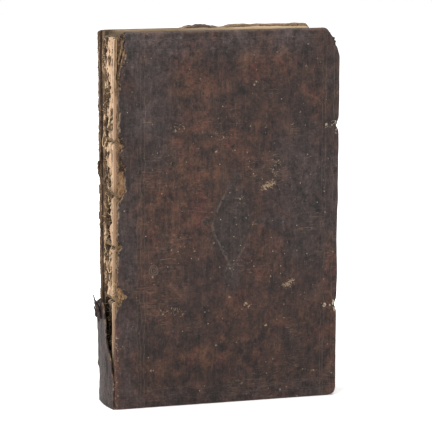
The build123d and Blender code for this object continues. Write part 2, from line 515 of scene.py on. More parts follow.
def worn_outline(x, z):
    """Pulls the fore-edge corners of a rectangle in and adds the tie notches. In a corner's box, shares p
    and q of the way out become p(1 - c q^2) and q(1 - c p^2). A straight cut has c = 0.5 and a round one
    0.29."""
    x, z = np.broadcast_arrays(np.asarray(x, float), np.asarray(z, float))
    new_x, new_z = x.copy(), z.copy()
    for corner_z, width, height, cut in worn_corners:
        outwards = 1 if corner_z else -1
        start_x, start_z = cover_width - width, corner_z - outwards * height
        p = np.clip((x - start_x) / width, 0, None)
        q = np.clip((z - start_z) * outwards / height, 0, None)
        chips = 0.11 * rough(q * 6 + p * 3, p * 5, 3, seed=4) * np.minimum(p, q) * (corner_z > 0)
        new_x = new_x - p * (cut + chips) * q**2 * width
        new_z = new_z - outwards * q * (cut + chips) * p**2 * height
    near_edge = ease(x, cover_width - 5, cover_width)
    for height in tie_heights:
        scoop = bell(z, height, tie_notch_width) * (1 + 0.35 * rough(z / 1.3, x / 4, 2, seed=5))
        new_x = new_x - tie_notch_depth * scoop * near_edge
    new_x = new_x + 0.22 * rough(z / 14, 0.5, 3, seed=6) * near_edge
    return new_x, new_z


# %% Torn spine edge of the covering leather
most_spine_wear = 1.5
torn_heights = np.array([0, 48, 56, 61, 67, 84, 88, 93, 111, 115, 131, 136, 141, 147, 165, 178, 186, 201])
torn_depths = np.array([
    -3, -2.4, 1.6, 4.3, 0.7, 0.5, 2.6, 0.4, 0.6, 3.5, 3.9, 0.6, 3.4, 0.4, 0.5, 0.9, 2.6, 3.7,
])


def spine_wear(z, share=0.0):
    """How far the spine edges are worn back at a height, in millimetres: most at the head and at the front.
    share is 0 at the front of the book and 1 at its back."""
    return most_spine_wear * np.clip(z / cover_height, 0, 1) * (1 - 0.8 * share)


def worn_back(x, z, side):
    """Moves the spine edge of the front cover in by its wear, which fades out over the next 25 mm."""
    return x + (spine_wear(z) * (1 - ease(x, 2, 27)) if side > 0 else 0)


def torn_edge(z, side):
    """How far the leather stops short of the spine edge at a height: the big tears, made ragged by noise.
    Low down it is less than 0, because there the leather still goes round the edge of the board."""
    big = np.interp(z, torn_heights, torn_depths)
    ragged = 0.6 * rough(z / 5, 0.3, 3, seed=8 + side) + 0.65 * rough(z / 1.5, 0.7, 2, seed=12 + side)
    return big + ragged * (0.35 + 0.3 * np.clip(big, 0, 3))


print("leather stops", np.round(torn_edge(np.array([20, 61, 100, 125, 190]), 1), 1), "mm short")

# %% [markdown]
# ## Covering leather
# Each cover is one skin of calf, pasted over the board and turned in round three sides. It is made as a grid
# for the face and a run of rings that go over the rounded edge and back under the board. A Solidify modifier
# gives the skin its thickness, so that the torn edge at the spine shows the real section of the leather.
#
# The marks that follow the surface, such as rubbed edges, warm and cold patches and bare spots, are kept as
# numbers at the vertices.

# %% Marks on the leather
# Places are x and z on the flat cover. A patch is a centre and two half sizes, in millimetres.
diamond_centre = (64.0, 96.5)
diamond_half = (11.2, 22.6)
finials = ((66.2, 122.6, 2.4, 4.0), (62.2, 70.6, 2.4, 4.2), (79.0, 97.6, 3.0, 2.0), (49.8, 99.0, 2.6, 2.0))
warm_patches = (
    (110, 163, 10, 8), (85, 182, 17, 8), (40, 175, 9, 6), (71, 141, 13, 18), (38, 118, 19, 30),
    (82, 79, 9, 12), (26, 60, 10, 14), (70, 50, 21, 17), (109, 40, 12, 11), (56, 26, 34, 8),
    (95, 120, 10, 8), (122, 45, 3, 45),
)
cold_patches = ((103, 113, 14, 36), (64, 97, 9, 17), (64, 70, 4, 8), (88, 98, 7, 5), (20, 160, 12, 25))
scuffed_patches = ((34.5, 149.4, 4.5, 2.4), (60, 144, 5, 2), (88, 128, 3, 5), (30, 52, 7, 3))
bare_patches = (
    (84.4, 116.9, 3.0, 1.9), (81.8, 115.6, 1.9, 1.2), (86.6, 118.6, 1.3, 1.5), (94.6, 62.6, 3.0, 1.6),
    (97.6, 64.4, 2.2, 1.7), (72, 53.4, 1.1, 1.1), (73.2, 51.9, 0.8, 0.9), (63, 57.7, 0.7, 0.7),
    (76, 96.4, 1.3, 0.5), (42.9, 83.6, 0.6, 0.7), (83.3, 41.2, 1.4, 0.5), (82, 148, 0.6, 0.6),
    (66, 40, 0.6, 0.4), (112, 14.6, 2.2, 0.4), (105, 15.6, 1.3, 0.6), (20, 20.3, 0.8, 0.7),
    (94.5, 85.7, 0.5, 0.7), (97, 149, 0.6, 0.5), (30, 131, 0.5, 0.6),
)


def patches(x, z, places, softness, seed):
    """Soft fields: for each ellipse, 1 in its middle and 0 outside, with a border made uneven by noise."""
    total = np.zeros(np.shape(x))
    for centre_x, centre_z, half_width, half_height in places:
        reach = np.hypot((x - centre_x) / half_width, (z - centre_z) / half_height)
        uneven = 0.35 * rough(x / half_width, z / half_width, 3, seed=seed)
        total = np.maximum(total, 1 - ease(reach + uneven, 1 - softness, 1 + softness))
    return total


def leather_marks(x, z, torn, rim, side):
    """The numbers that the leather's material reads. rim is 1 on the rounded edges and 0 inside them. The
    back cover's patches have another border and it has half as many bare spots."""
    shift = 0 if side > 0 else 23
    warm = patches(x, z, warm_patches, 0.75, 20 + shift)
    warm = warm * (0.75 + 0.35 * rough(x / 9, z / 11, 4, seed=21 + shift))
    broad = 0.45 * ease(rough(x / 38 + shift, z / 46, 3, seed=22), -0.2, 0.9)
    cold = patches(x, z, cold_patches, 0.6, 24 + shift)
    fore_low = ease(x, 114, 119) * ease(98 - z, 0, 20) * (0.8 + 0.5 * rough(x / 3, z / 9, 3, seed=28))
    to_edges = [x - 4, cover_width - x + 1, z - 3, 0.6 * (cover_height - z)]
    border = 1 - ease(np.minimum.reduce(to_edges), 3, 12)
    border = border * np.clip(1 - 0.85 * fore_low, 0, 1)
    greyness = 0.6 + 0.5 * rough(x / 12, z / 16, 3, seed=25 + shift)
    flaked = patches(x, z, bare_patches if side > 0 else bare_patches[::2], 0.9, 30 + shift)
    scuffed = patches(x, z, scuffed_patches, 0.9, 33 + shift)
    spine_corner = fading(x, 1.6) * ease(50 - z, 0, 10)
    warm_corner = fading(x, 1.1) * ease(52 - z, 0, 8)
    return {
        "warm": np.clip(warm + broad - 0.5 * cold + 0.8 * fore_low + warm_corner, 0, 1),
        "cold": np.clip(cold * 0.8 + border * greyness, 0, 1),
        "bare": np.maximum(np.maximum(flaked, 0.36 * scuffed), 0.4 * spine_corner),
        "torn": fading(x - torn, 0.8),
        "rim": np.maximum(rim, 0.9 * spine_corner),
    }


# %% Relief and edge of the leather
# The fore-edge isn't torn, so its tear lies well outside the cover. The rim is centred on the tenth ring.
untorn = -9
rim_ring = 9


def leather_relief(x, z, torn, side):
    """Height of the leather above the board, in millimetres: slow unevenness, the sunk diamond, the ridges of
    the laced cords and the torn edge, which curls up."""
    slow = 0.22 * rough(x / 42, z / 55, 3, seed=40 + side) + 0.05 * rough(x / 5, z / 7, 3, seed=43 + side)
    reach = np.abs(x - diamond_centre[0]) / diamond_half[0] + np.abs(z - diamond_centre[1]) / diamond_half[1]
    diamond = -0.16 * (1 - ease(reach, 0.9, 1.02)) + 0.05 * bell(reach, 1.06, 0.05)
    cords = sum(0.16 * hump(z, height, 3.2) for height in cord_heights)
    laced = cords * (1 - ease(x, 11, 17)) * ease(x, 2, 6)
    curl = (0.28 + 0.3 * rough(z / 4, 0.2, 3, seed=45 + side)) * fading(x - torn, 1.3)
    return slow + diamond + laced + np.clip(curl, -0.1, 0.8)


def edge_profile(margin, turn_in):
    """Inset and depth of each ring: in to the edge over a quarter round, down, round again and back under."""
    quarter = np.linspace(0, np.pi / 2, 6)
    outer, inner = 1.5, 1.0
    insets = [margin, 7.0, 4.8, 3.2, 2.2, *(outer - outer * np.sin(quarter)), 0, 0]
    depths = [0, 0, 0, 0, 0, *(outer - outer * np.cos(quarter)), 2.2, 3.0]
    insets += [*(inner - inner * np.cos(quarter)), 2.5, turn_in]
    depths += [*(leather_back - inner + inner * np.sin(quarter)), leather_back, leather_back]
    return np.array(insets), np.array(depths)


def skin_grids(side, columns, rows, margin, inset):
    """Flat places of the skin, each as x, z and where the leather is torn. The face is a grid from the torn
    edge outwards. Each ring runs along the head, down the fore-edge and back along the tail, at its inset."""
    z = np.linspace(margin, cover_height - margin, rows)[:, None]
    run = np.linspace(0, 1, columns)[None, :]
    torn = torn_edge(z, side) + 0 * run
    face = np.stack([torn + run * (cover_width - margin - torn), z + 0 * run, torn])
    fall = np.linspace(1, 0, rows)[None, 1:-1]
    head_torn = torn_edge(cover_height - inset, side)
    tail_torn = torn_edge(inset, side)
    head_x = head_torn + run * (cover_width - inset - head_torn)
    side_x = cover_width - inset + 0 * fall
    tail_x = (tail_torn + run * (cover_width - inset - tail_torn))[:, ::-1]
    side_z = inset + fall * (cover_height - 2 * inset)
    rings = np.stack([
        np.concatenate([head_x, side_x, tail_x], axis=1),
        np.concatenate([cover_height - inset + 0 * run, side_z, inset + 0 * run], axis=1),
        np.concatenate([head_torn + 0 * run, untorn + 0 * side_x, tail_torn + 0 * run], axis=1),
    ])
    return face, rings


# %% Leather skins
def leather_skin(name, side, head_loss=None, columns=108, rows=320, margin=10.0, turn_in=7.0):
    """The skin of one cover: worked out flat, marked, given its relief, worn along its edges and then leaned
    into place. head_loss says how far the head edge is worn down along x."""
    insets, depths = edge_profile(margin, turn_in)
    face, rings = skin_grids(side, columns, rows, margin, insets[:, None])
    x, z, torn = np.concatenate([face.reshape(3, -1), rings.reshape(3, -1)], axis=1)
    flat_face, ring_length = np.zeros(face[0].size), rings.shape[2]
    depth = np.concatenate([flat_face, np.repeat(depths, ring_length)])
    rim = np.concatenate([flat_face, np.repeat(bell(np.arange(len(insets)), rim_ring, 2.6), ring_length)])
    relief = leather_relief(x, z, torn, side) * (1 - ease(depth, 0.2, 2.0))
    masks = leather_marks(x, z, torn, rim, side)
    masks["under"] = ease(depth, 3.6, 4.6)
    if side < 0:
        head_rim = ease(z, cover_height - 2.6, cover_height - 1.0) * ease(depth, 0.6, 1.4)
        masks["bare"] = np.maximum(masks["bare"], 1.3 * head_rim * (1 - 0.85 * hump(x, 56, 9)))
    round_edge = np.clip(-x, 0, None)
    depth = depth + round_edge
    x = np.where(x < 0, -0.75 * (1 - np.exp(-round_edge)), x)
    out_x, out_z = worn_outline(x, z)
    out_x = worn_back(out_x, z, side)
    out_z = out_z - 1.5 * fading(x, 1.1) * ease(z, cover_height - 8, cover_height)
    if head_loss:
        out_z = out_z - head_loss(x) * ease(z, cover_height - 3, cover_height) * ease(depth, -0.1, 0.4)
    edge_wave = 0.18 * rough(x / 13, z / 13, 3, seed=47 + side)
    points = place_cover(out_x, out_z, depth - relief + edge_wave * ease(depth, 0.5, 3), side)
    points[:, 2] = np.maximum(points[:, 2], 0.0)
    quads = np.concatenate([
        grid_quads(rows, columns, flip=side < 0),
        grid_quads(*rings.shape[1:], first=face[0].size, flip=side < 0),
    ])
    return thicken(build_mesh(name, points, quads, masks, weld=0.01), leather_wall)


def back_head_loss(x):
    """How far the back cover's head edge is worn down: long at the spine side, with a remnant between."""
    remnant = hump(x, 56, 10)
    worn = 1.1 * (1 - ease(x, 66, 74)) - 0.5 * ease(x, 66, 74) + 0.2 * rough(x / 5, 0.4, 3, seed=50)
    torn_top = -0.5 + 0.8 * rough(x / 2, 0.8, 3, seed=51)
    return np.clip(worn * (1 - remnant) + torn_top * remnant, -1.1, 2)


front_skin = leather_skin("front_cover_leather", 1)
back_skin = leather_skin("back_cover_leather", -1, back_head_loss)
for skin in (front_skin, back_skin):
    print(skin.name, "has", len(skin.data.polygons), "faces before its wall")

# %% [markdown]
# ## Boards
# Where the leather is torn away, the pasteboard shows: brown, felted and split into layers. Each board is a
# closed block. Its spine edge is rough, and its outer face swells into fibrous pads where the leather's own
# flesh side stayed behind.


# %% Board shapes
def board_shape(side):
    """A function from the unit cube to one board: u away from the spine, where the squares crowd together as
    u^1.6, v down into the board and w up from the tail."""

    def shape(u, v, w):
        width = cover_width - leather_wall
        x = u**1.6 * width
        z = leather_wall + w * (cover_height - 2 * leather_wall)
        at_edge = 1 - ease(x, 0, 1.2)
        layers = 0.35 * rough(v * 9, z / 16, 3, seed=60 + side)
        layers = layers + 0.22 * rough(z / 2.2, v * 5, 3, seed=62 + side)
        torn = torn_edge(z, side)
        bared = 1 - ease(x, torn - 0.4, torn + 1.2)
        pads = ease(torn, 1.4, 4.0) * bared * (0.38 + 0.45 * rough(x / 0.9, z / 1.9, 3, seed=64 + side))
        fuzz = 0.22 * rough(x / 0.6, z / 1.3, 3, seed=66 + side) * bared
        splay = 0.3 * at_edge * (1 - 2 * v) * ease(w, 0.99, 0.9)
        depth = leather_wall + v * (board_back - leather_wall) - (1 - v) * (pads + fuzz) + splay
        x = x + at_edge * (0.35 + layers)
        z = z - 1.6 * np.exp(-x / 1.2) * ease(z, cover_height - 8, cover_height)
        x, z = worn_outline(x * cover_width / width, z)
        x = worn_back(x * width / cover_width, z, side)
        return place_cover(x, z, depth, side)

    return shape


def board_marks(places, side):
    """tan is 1 where torn flesh is left on the outer face, and edge is 1 on the spine edge."""
    u, v, w = places.T
    height = w * cover_height
    pads = ease(torn_edge(height, side), 1.6, 3.2) * (1 - 0.7 * ease(height, 160, 172))
    pads = pads * (1 - 0.7 * hump(height, 131, 5.5))
    return {"tan": pads * (1 - v), "edge": (u < 0.001).astype(float)}


boards = {}
for body, side in cover_sides.items():
    points, quads, places = block_shell(board_shape(side), 90, 10, 240, flip=side < 0)
    boards[body] = build_mesh(f"{body}_board", points, quads, board_marks(places, side), weld=0.01)
    print(boards[body].name, "has", len(quads), "faces")

# %% [markdown]
# ## Pastedowns
# A sheet of paper is pasted inside each board, over the turned-in leather. It steps down where the turn-ins
# end, and over the years the leather has browned it along its edges.


# %% Pastedown shapes
def pastedown_shape(side):
    """A function from the unit cube to one pasted sheet. The sheet at the back reaches further out."""
    margin = 4.0 if side > 0 else 2.2
    head_margin = 4.0 if side > 0 else 0.9
    spine_margin = 1.6
    paper = 0.36

    def shape(u, v, w):
        uneven_sides = 0.3 * rough(w * 25, u * 9, 3, seed=70 + side) * np.abs(2 * u - 1)
        uneven_ends = 0.3 * rough(u * 19, w * 9, 3, seed=72 + side)
        x = spine_margin + u * (cover_width - spine_margin - margin) + uneven_sides
        z = margin + w * (cover_height - margin - head_margin) + uneven_ends
        from_edge = np.minimum.reduce([cover_width - x, z, cover_height - z])
        step = 0.42 * ease(from_edge + 0.5 * rough(x / 9, z / 9, 2, seed=74), 12.4, 14.6)
        wrinkle = 0.05 * rough(x / 11, z / 17, 4, seed=75 + side)
        depth = leather_back - 0.08 + paper * v - step - np.abs(wrinkle)
        x, z = worn_outline(x, z)
        return place_cover(worn_back(x, z, side), z, depth, side)

    return shape


pastedowns = {}
for body, side in cover_sides.items():
    points, quads, places = block_shell(pastedown_shape(side), 90, 1, 140, flip=side < 0)
    pastedowns[body] = build_mesh(f"{body}_pastedown", points, quads, weld=0.01)
    print(pastedowns[body].name, "has", len(quads), "faces")

# %% [markdown]
# ## Text block
# The leaves lie in five gatherings. At the spine each gathering shows its folds as a rounded ridge, with
# dark cracks between, and only the foremost is still smooth. The other three edges show the leaves as thin
# strata. All of it is one closed block, whose surface is worked out from three shares: u from spine to
# fore-edge, v from front to back and w from tail to head.

# %% Text block shape
# Each crack: its gathering, its height, half its length and how deep it bites.
gatherings = 5
fold_tips = np.array([-0.4, 0.5, 0.5, 1.5, 1.3])
fold_cracks = (
    (1, 156, 3.4, 2.6), (1, 133, 2.2, 1.6), (2, 168, 6.0, 1.6), (2, 120, 3.0, 2.0), (3, 150, 9.0, 1.8),
    (3, 96, 14.0, 2.4), (4, 176, 7.0, 1.8), (4, 128, 9.0, 1.9), (2, 98, 13.0, 2.2), (1, 70, 2.4, 1.5),
    (3, 60, 5.0, 1.6), (4, 40, 9.0, 1.5),
)
leaves = 400
leaf_jitter = np.random.default_rng(23).normal(0, 1, leaves)


def half_text(z):
    """Half the thickness of the leaves at a height, between the pastedowns."""
    return face_y(z) - pastedown_back / np.cos(lean) - text_gap


def fold_line(v, z):
    """How far the spine side of the leaves lies inside the boards' spine edge, by share and height."""
    place = np.clip(v * gatherings, 0, gatherings - 1e-6)
    number = place.astype(int)
    across = 2 * (place - number) - 1
    smooth = number == 0
    ridge = (1 - across**2 + 1e-9) ** np.where(smooth, 0.42, 0.5)
    tip = fold_tips[number] + 0.3 * rough(z / 60, number * 3.1, 3, seed=80)
    depth = np.where(smooth, 3.4, 5.2)
    worn = 0.75 * rough(v * 44, z / 17, 3, seed=81) + 0.75 * rough(v * 26, z / 2.7, 3, seed=83)
    line = tip + depth * (1 - ridge) + np.where(smooth, 0.1 * rough(v * 30, z / 9, 3, seed=82), worn)
    for gathering, height, half_length, bite in fold_cracks:
        hole = hump(z, height, half_length) * (number == gathering) * (1 - 0.6 * across**2)
        line = line + bite * hole * (0.75 + 0.5 * rough(v * 30, z / 2.5, 2, seed=85))
    for height in cord_heights:
        line = line + 2.3 * hump(z, height, 1.2)
    return line + spine_wear(z, v)


def text_shape(u, v, w):
    """A function from the unit cube to the leaves. Their head and tail step a little from leaf to leaf and
    are worn round at the spine, the outer leaves cockle, and the fore-edge bows between its corners."""
    jitter = leaf_jitter[np.minimum((v * (leaves - 1)).astype(int), leaves - 1)]
    near_spine = np.exp(-u * 14)
    uneven_head = 0.25 * rough(v * 9, u * 6, 2, seed=86) ** 2
    worn_head = 2.0 * near_spine * (0.5 + 0.4 * rough(v * 9, u * 4, 2, seed=87))
    head_drop = 0.16 * np.abs(jitter) + uneven_head + worn_head
    tail_lift = 0.14 * np.abs(jitter[::-1]) + 0.8 * near_spine
    z = square + w * (cover_height - 2 * square) - w**20 * head_drop + (1 - w) ** 20 * tail_lift
    outer_leaves = np.abs(2 * v - 1) ** 6 * np.sin(np.pi * np.clip(u * 1.02, 0, 1))
    cockle = 0.22 * (1 + rough(z / 38, u * 4, 3, seed=88)) * outer_leaves
    y = (2 * v - 1) * (half_text(z) - cockle)
    bow = 0.5 * rough(v * 7, z / 45, 3, seed=89)
    bow = bow + 0.22 * jitter * (0.6 + 0.4 * rough(v * 40, z / 24, 2, seed=90)) + 0.36 * (2 * v - 1) ** 2
    inner = spine_x + 0.2 + fold_line(v, z)
    outer = fore_x - square - 0.6 - np.clip(0.35 + bow, 0, 2.6)
    x = inner + (outer - inner) * (0.25 * u + 0.75 * u**1.5 * (1.5 - 0.5 * u**1.5))
    return np.stack([x, y, z], axis=-1)


# %% Text block with its masks
points, quads, places = block_shell(text_shape, 24, 120, 300)
u, v, w = places.T
at_spine = u < 0.001
below_ridge = points[:, 0] - spine_x - spine_wear(points[:, 2], v) - 0.9
across = 2 * (v * gatherings % 1) - 1
# front_flank is the front side of each ridge and crack the depth below the ridge; the paper's finish darkens
# both as painted shade.
front_flank = ease(-across + 0.3 * rough(v * 30, points[:, 2] / 5, 3, seed=91), 0.1, 0.45)
text_masks = {
    "leaf": v,
    "flank": front_flank * (v > 0.2),
    "fold": at_spine.astype(float),
    "cut": ((u > 0.999) | (w > 0.999) | (w < 0.001)).astype(float),
    "crack": np.clip(below_ridge / 3.4, 0, 1) * at_spine,
    "inward": u,
}
text_block = build_mesh("leaves", points, quads, text_masks, weld=0.01)
print("leaves have", len(text_block.data.polygons), "faces")

# %% [markdown]
# ## Tubes and ribbons
# Cords, threads and torn strips are all something narrow carried along a path. A tube is a ring at each point
# of the path. A ribbon is a flat section with a width and a side direction at each point.


# %% Tubes and ribbons
def smooth_path(points, samples):
    """A curve through a few points, by Catmull-Rom weights."""
    points = np.asarray(points, float)
    return through_points(len(points), samples) @ points


def tube(path, radii, sides):
    """A closed tube: rings round a path. radii has one number for each ring, or one for each side of each."""
    along = np.gradient(path, axis=0)
    along /= np.linalg.norm(along, axis=1, keepdims=True) + 1e-9
    helper = np.where(np.abs(along[:, 2:3]) > 0.7, [[1.0, 0, 0]], [[0, 0, 1.0]])
    sideways = np.cross(along, helper)
    sideways /= np.linalg.norm(sideways, axis=1, keepdims=True)
    upwards = np.cross(sideways, along)
    angle = np.linspace(0, 2 * np.pi, sides, endpoint=False)
    ring = sideways[:, None] * np.cos(angle)[:, None] + upwards[:, None] * np.sin(angle)[:, None]
    radii = np.broadcast_to(np.reshape(radii, (len(path), -1)), (len(path), sides)).copy()
    points = path[:, None] + ring * radii[..., None]
    ends = [np.repeat(path[None, :1], sides, axis=1), np.repeat(path[None, -1:], sides, axis=1)]
    points = np.concatenate([ends[0], points, ends[1]])
    index = np.arange(len(points) * sides).reshape(len(points), sides)
    around = np.roll(index, -1, axis=1)
    quads = np.stack([index[:-1], index[1:], around[1:], around[:-1]], axis=-1).reshape(-1, 4)
    return points.reshape(-1, 3), quads


def join_parts(parts):
    """Several (points, squares) pairs as one."""
    offsets = np.cumsum([0] + [len(points) for points, _ in parts[:-1]])
    points = np.concatenate([points for points, _ in parts])
    return points, np.concatenate([quads + offset for (_, quads), offset in zip(parts, offsets)])


def unit(vector):
    return vector / np.linalg.norm(vector)


def close_poles(piece):
    """Merges the points at the ends of tubes, which leaves triangles there, and turns all faces outwards."""
    work = bmesh.new()
    work.from_mesh(piece.data)
    bmesh.ops.remove_doubles(work, verts=work.verts, dist=0.001 * MM)
    bmesh.ops.recalc_face_normals(work, faces=work.faces)
    work.to_mesh(piece.data)
    work.free()
    piece.data.polygons.foreach_set("use_smooth", np.ones(len(piece.data.polygons), dtype=bool))
    return piece


# %% [markdown]
# ## Sewing cords and threads
# Four cords were sunk in sawn grooves across the folds. They are two strands twisted together, stained with
# glue, and broken off at the joints. The twist is worked into the radius of each ring. Loose linen threads
# hang out of the folds, most of them in one tangle low down on the front gathering.

# %% Sewing cords
cord_radius = 0.95


def sewing_cord(number, height):
    """A rod across the folds, with two lobes that turn along it and frayed, thinner ends."""
    half = half_text(height)
    across = np.linspace(-half + 0.2, half - 0.2, 90)
    angle = np.linspace(0, 2 * np.pi, 14, endpoint=False)
    sink = 0.5 * rough(across / 6, number * 2.3, 2, seed=100)
    back_share = across / (2 * half) + 0.5
    x = spine_x + 2.7 + sink + spine_wear(height, back_share)
    path = np.stack([x, across, height + 0.35 * rough(across / 8, number, 2, seed=101)], axis=-1)
    twist = 1 + 0.16 * np.cos(2 * (angle[None, :] - across[:, None] * 1.15))
    strands = 1 + 0.06 * np.cos(9 * angle[None, :] + across[:, None] * 5)
    taper = np.clip(1.15 - (np.abs(across) / half) ** 8, 0.25, 1)
    radii = cord_radius * taper[:, None] * twist * strands
    return close_poles(build_mesh(f"cord_{number}", *tube(path, radii, 14)))


cords = [sewing_cord(number, height) for number, height in enumerate(cord_heights, start=1)]

# %% Loose threads
thread_radius = 0.2
thread_routes = (
    [(-58.6, -12.6, 66), (-60.9, -13.4, 69), (-61.4, -14.2, 66.5), (-60.4, -13.6, 64.2), (-59.8, -12.2, 66),
     (-60.9, -11.4, 70), (-58.8, -10.6, 73)],
    [(-58.6, -11.8, 62), (-61.0, -12.6, 60.6), (-61.6, -13.4, 63), (-60.6, -14.0, 65.6), (-59.6, -12.6, 63.4),
     (-60.6, -10.8, 61), (-58.8, -9.6, 58)],
    [(-58.8, -9.0, 84), (-60.4, -8.4, 81), (-60.8, -6.8, 82.6), (-59.6, -6.6, 86), (-58.6, -7.6, 89)],
    [(-58.6, -5.0, 74), (-60.2, -4.0, 72), (-60.5, -2.2, 75), (-59.4, -2.6, 79), (-58.4, -3.4, 82)],
    [(-58.7, 2.0, 92), (-60.3, 3.2, 88), (-60.0, 4.4, 84), (-58.6, 4.0, 80)],
    [(-58.7, -7.0, 112), (-60.2, -6.0, 109), (-60.4, -4.4, 112), (-59.2, -4.6, 117), (-58.5, -5.6, 121)],
    [(-58.7, 5.0, 142), (-60.1, 6.0, 138), (-60.3, 7.6, 141), (-58.6, 8.2, 147)],
    [(-58.7, -3.0, 156), (-60.0, -3.8, 151), (-60.1, -1.8, 149), (-58.8, -1.0, 154)],
)
thread_radii = thread_radius * np.linspace(1.15, 0.75, 40)
parts = [tube(smooth_path(route, 40), thread_radii, 6) for route in thread_routes]
threads = close_poles(build_mesh("loose_threads", *join_parts(parts)))
print("threads:", len(thread_routes))

# %% [markdown]
# ## What is left of the spine leather
# At the tail the leather still bridges the spine. Above that, only a torn flap stands along the back joint,
# shrunk and curling away, with thin spikes at its top. It is one curved sheet with a wall, and it goes on
# over the back cover.

# %% Spine leather
def spine_outline(z):
    """Where the sheet's front edge lies, as y: across to the front joint at the tail, torn back above it."""
    heights = np.array([0, 4, 13.5, 18.0, 22.0, 30.6, 37, 45, 50, 54, 57.5])
    edge_y = np.array([-14.4, -13.8, -14.6, -13.6, -12.2, -9.6, -7.4, -5.6, -3.4, 0.5, 5.0])
    return np.interp(z, heights, edge_y) + (0.5 * rough(z / 3.2, 0.1, 3, seed=110) + 0.25) * ease(z, 8, 20)


def spine_reach(y, z, back_y):
    """How far the sheet stands off the boards' spine edge. Its section is an arc that bulges at the tail,
    stands off the folds at the top, and comes in to the joint at the back."""
    share = np.clip(z / 57.5, 0, 1)
    end_reach = 1.2 + 1.4 * ease(share, 0.2, 0.95)
    middle_reach = 2.7 + 0.5 * share
    arc = (y / back_y) ** 2
    near_back = ease(y, back_y - 3.4, back_y)
    reach = (middle_reach * (1 - arc) + end_reach * arc) * (1 - near_back**2) - 0.9 * near_back**4
    dents = 0.35 * rough(y / 5, z / 13, 3, seed=112) * (1 - near_back) * ease(z, 0, 6)
    return reach + dents + 0.1 * rough(y / 2, z / 3, 2, seed=113)


def spine_leather_sheet(rows=120, columns=74, on_cover=7.0):
    """A grid from the front edge (column 0), round the spine and on to the back cover. Rows run up from the
    tail. run is the way along a row, and past is the part of it that lies on the cover."""
    w = np.linspace(0, 1, rows)[:, None]
    u = np.linspace(0, 1, columns)[None, :]
    back_y = tail_half - 0.3
    top = 53.5 + 2.2 * rough(u * 13, 0.3, 4, seed=111) - 6.5 * ease(u, 0.62, 0.95) + 2.0 * ease(u, 0.35, 0.1)
    z = 0.12 + w * (top - 0.12)
    front_y = spine_outline(z)
    width = back_y - front_y
    run = u * (width + on_cover)
    past = np.clip(run - width, 0, None)
    y = front_y + np.minimum(run, width)
    curl = 0.44 * ease(z, 44, 57) * ease(8.0 - (y - front_y), 0, 7)
    bump = 0.7 * np.exp(-(((z - 20) / 1.8) ** 2) - ((y - 12.5) / 1.6) ** 2)
    slit = 0.8 * bell(z, 24, 7.5) * bell(u, 0.16, 0.03)
    x = spine_x - spine_reach(y, z, back_y) + curl - bump + past + slit
    y = y + (face_y(z) + 0.32 - back_y) * ease(y, back_y - 4.5, back_y)
    y = y + 0.14 * rough((x - slit) / 3, z / 3, 2, seed=114) * ease(past, 0, 1) - 0.3 * ease(past, 4.5, 7.0)
    ragged_top = np.clip(1 - (top - z) / 1.6, 0, 1)
    ragged_front = np.clip(1 - run / 1.3, 0, 1) * (0.55 + 0.45 * ease(z, 6, 16))
    warm_edge = (0.3 + 0.7 * bell(z, 17, 5)) * np.exp(-run / 2.2) * ease(28 - z, 0, 6)
    masks = {
        "torn": np.maximum(ragged_top, ragged_front),
        "warm": np.clip(0.15 + warm_edge, 0, 1),
        "cold": np.full(x.shape, 0.75),
        "rim": bell(y, back_y, 1.2),
    }
    points = np.stack([x, y, z], axis=-1)
    return thicken(build_mesh("spine_remnant", points, grid_quads(rows, columns, flip=True), masks), 0.8)


spine_remnant = spine_leather_sheet()
print("spine leather reaches up to", round(max(v.co.z for v in spine_remnant.data.vertices) / MM, 1), "mm")

# %% Ribbons
def ribbon(path, width_axis, widths, seed, columns=9):
    """A strip along a path. Each row spans a width along width_axis, with ragged sides and a curl."""
    rows = len(path)
    share = np.linspace(-1, 1, columns)[None, :]
    along = np.linspace(0, rows / 3.5, rows)[:, None]
    widths = np.reshape(widths, (-1, 1))
    ragged = 1 + 0.3 * rough(along, share * 0.8 + 2, 3, seed=seed) * np.abs(share)
    axis = unit(np.asarray(width_axis, float))
    out = np.cross(np.gradient(path, axis=0), axis)
    out /= np.linalg.norm(out, axis=1, keepdims=True)
    curl = (0.28 * share**2 * widths + 0.12 * rough(along * 1.3, share * 2, 2, seed=seed + 1))[..., None]
    points = path[:, None] + axis * (share * ragged * widths / 2)[..., None] + out[:, None] * curl
    torn = np.clip(np.abs(share) * 1.5 - 0.6 + 0 * along, 0, 1)
    return points, torn


def strip_piece(name, ribbons, wall, paleness=1.0):
    """Several ribbons as one piece with a wall. paleness says how much flesh shows on their sides."""
    parts = [(points.reshape(-1, 3), grid_quads(*points.shape[:2])) for points, _ in ribbons]
    points, quads = join_parts(parts)
    torn = paleness * np.concatenate([edge.ravel() for _, edge in ribbons])
    return thicken(build_mesh(name, points, quads, {"torn": torn, "cold": np.full(len(points), 0.7)}), wall)


def tapered(samples, start, end, longest):
    """Widths along a strip: growing from start and shrinking to end, but never more than 1. Both slopes reach
    longest at the far end."""
    growing = np.linspace(start, longest[0], samples)
    return np.clip(np.minimum(growing, np.linspace(longest[1], end, samples)), 0, 1)


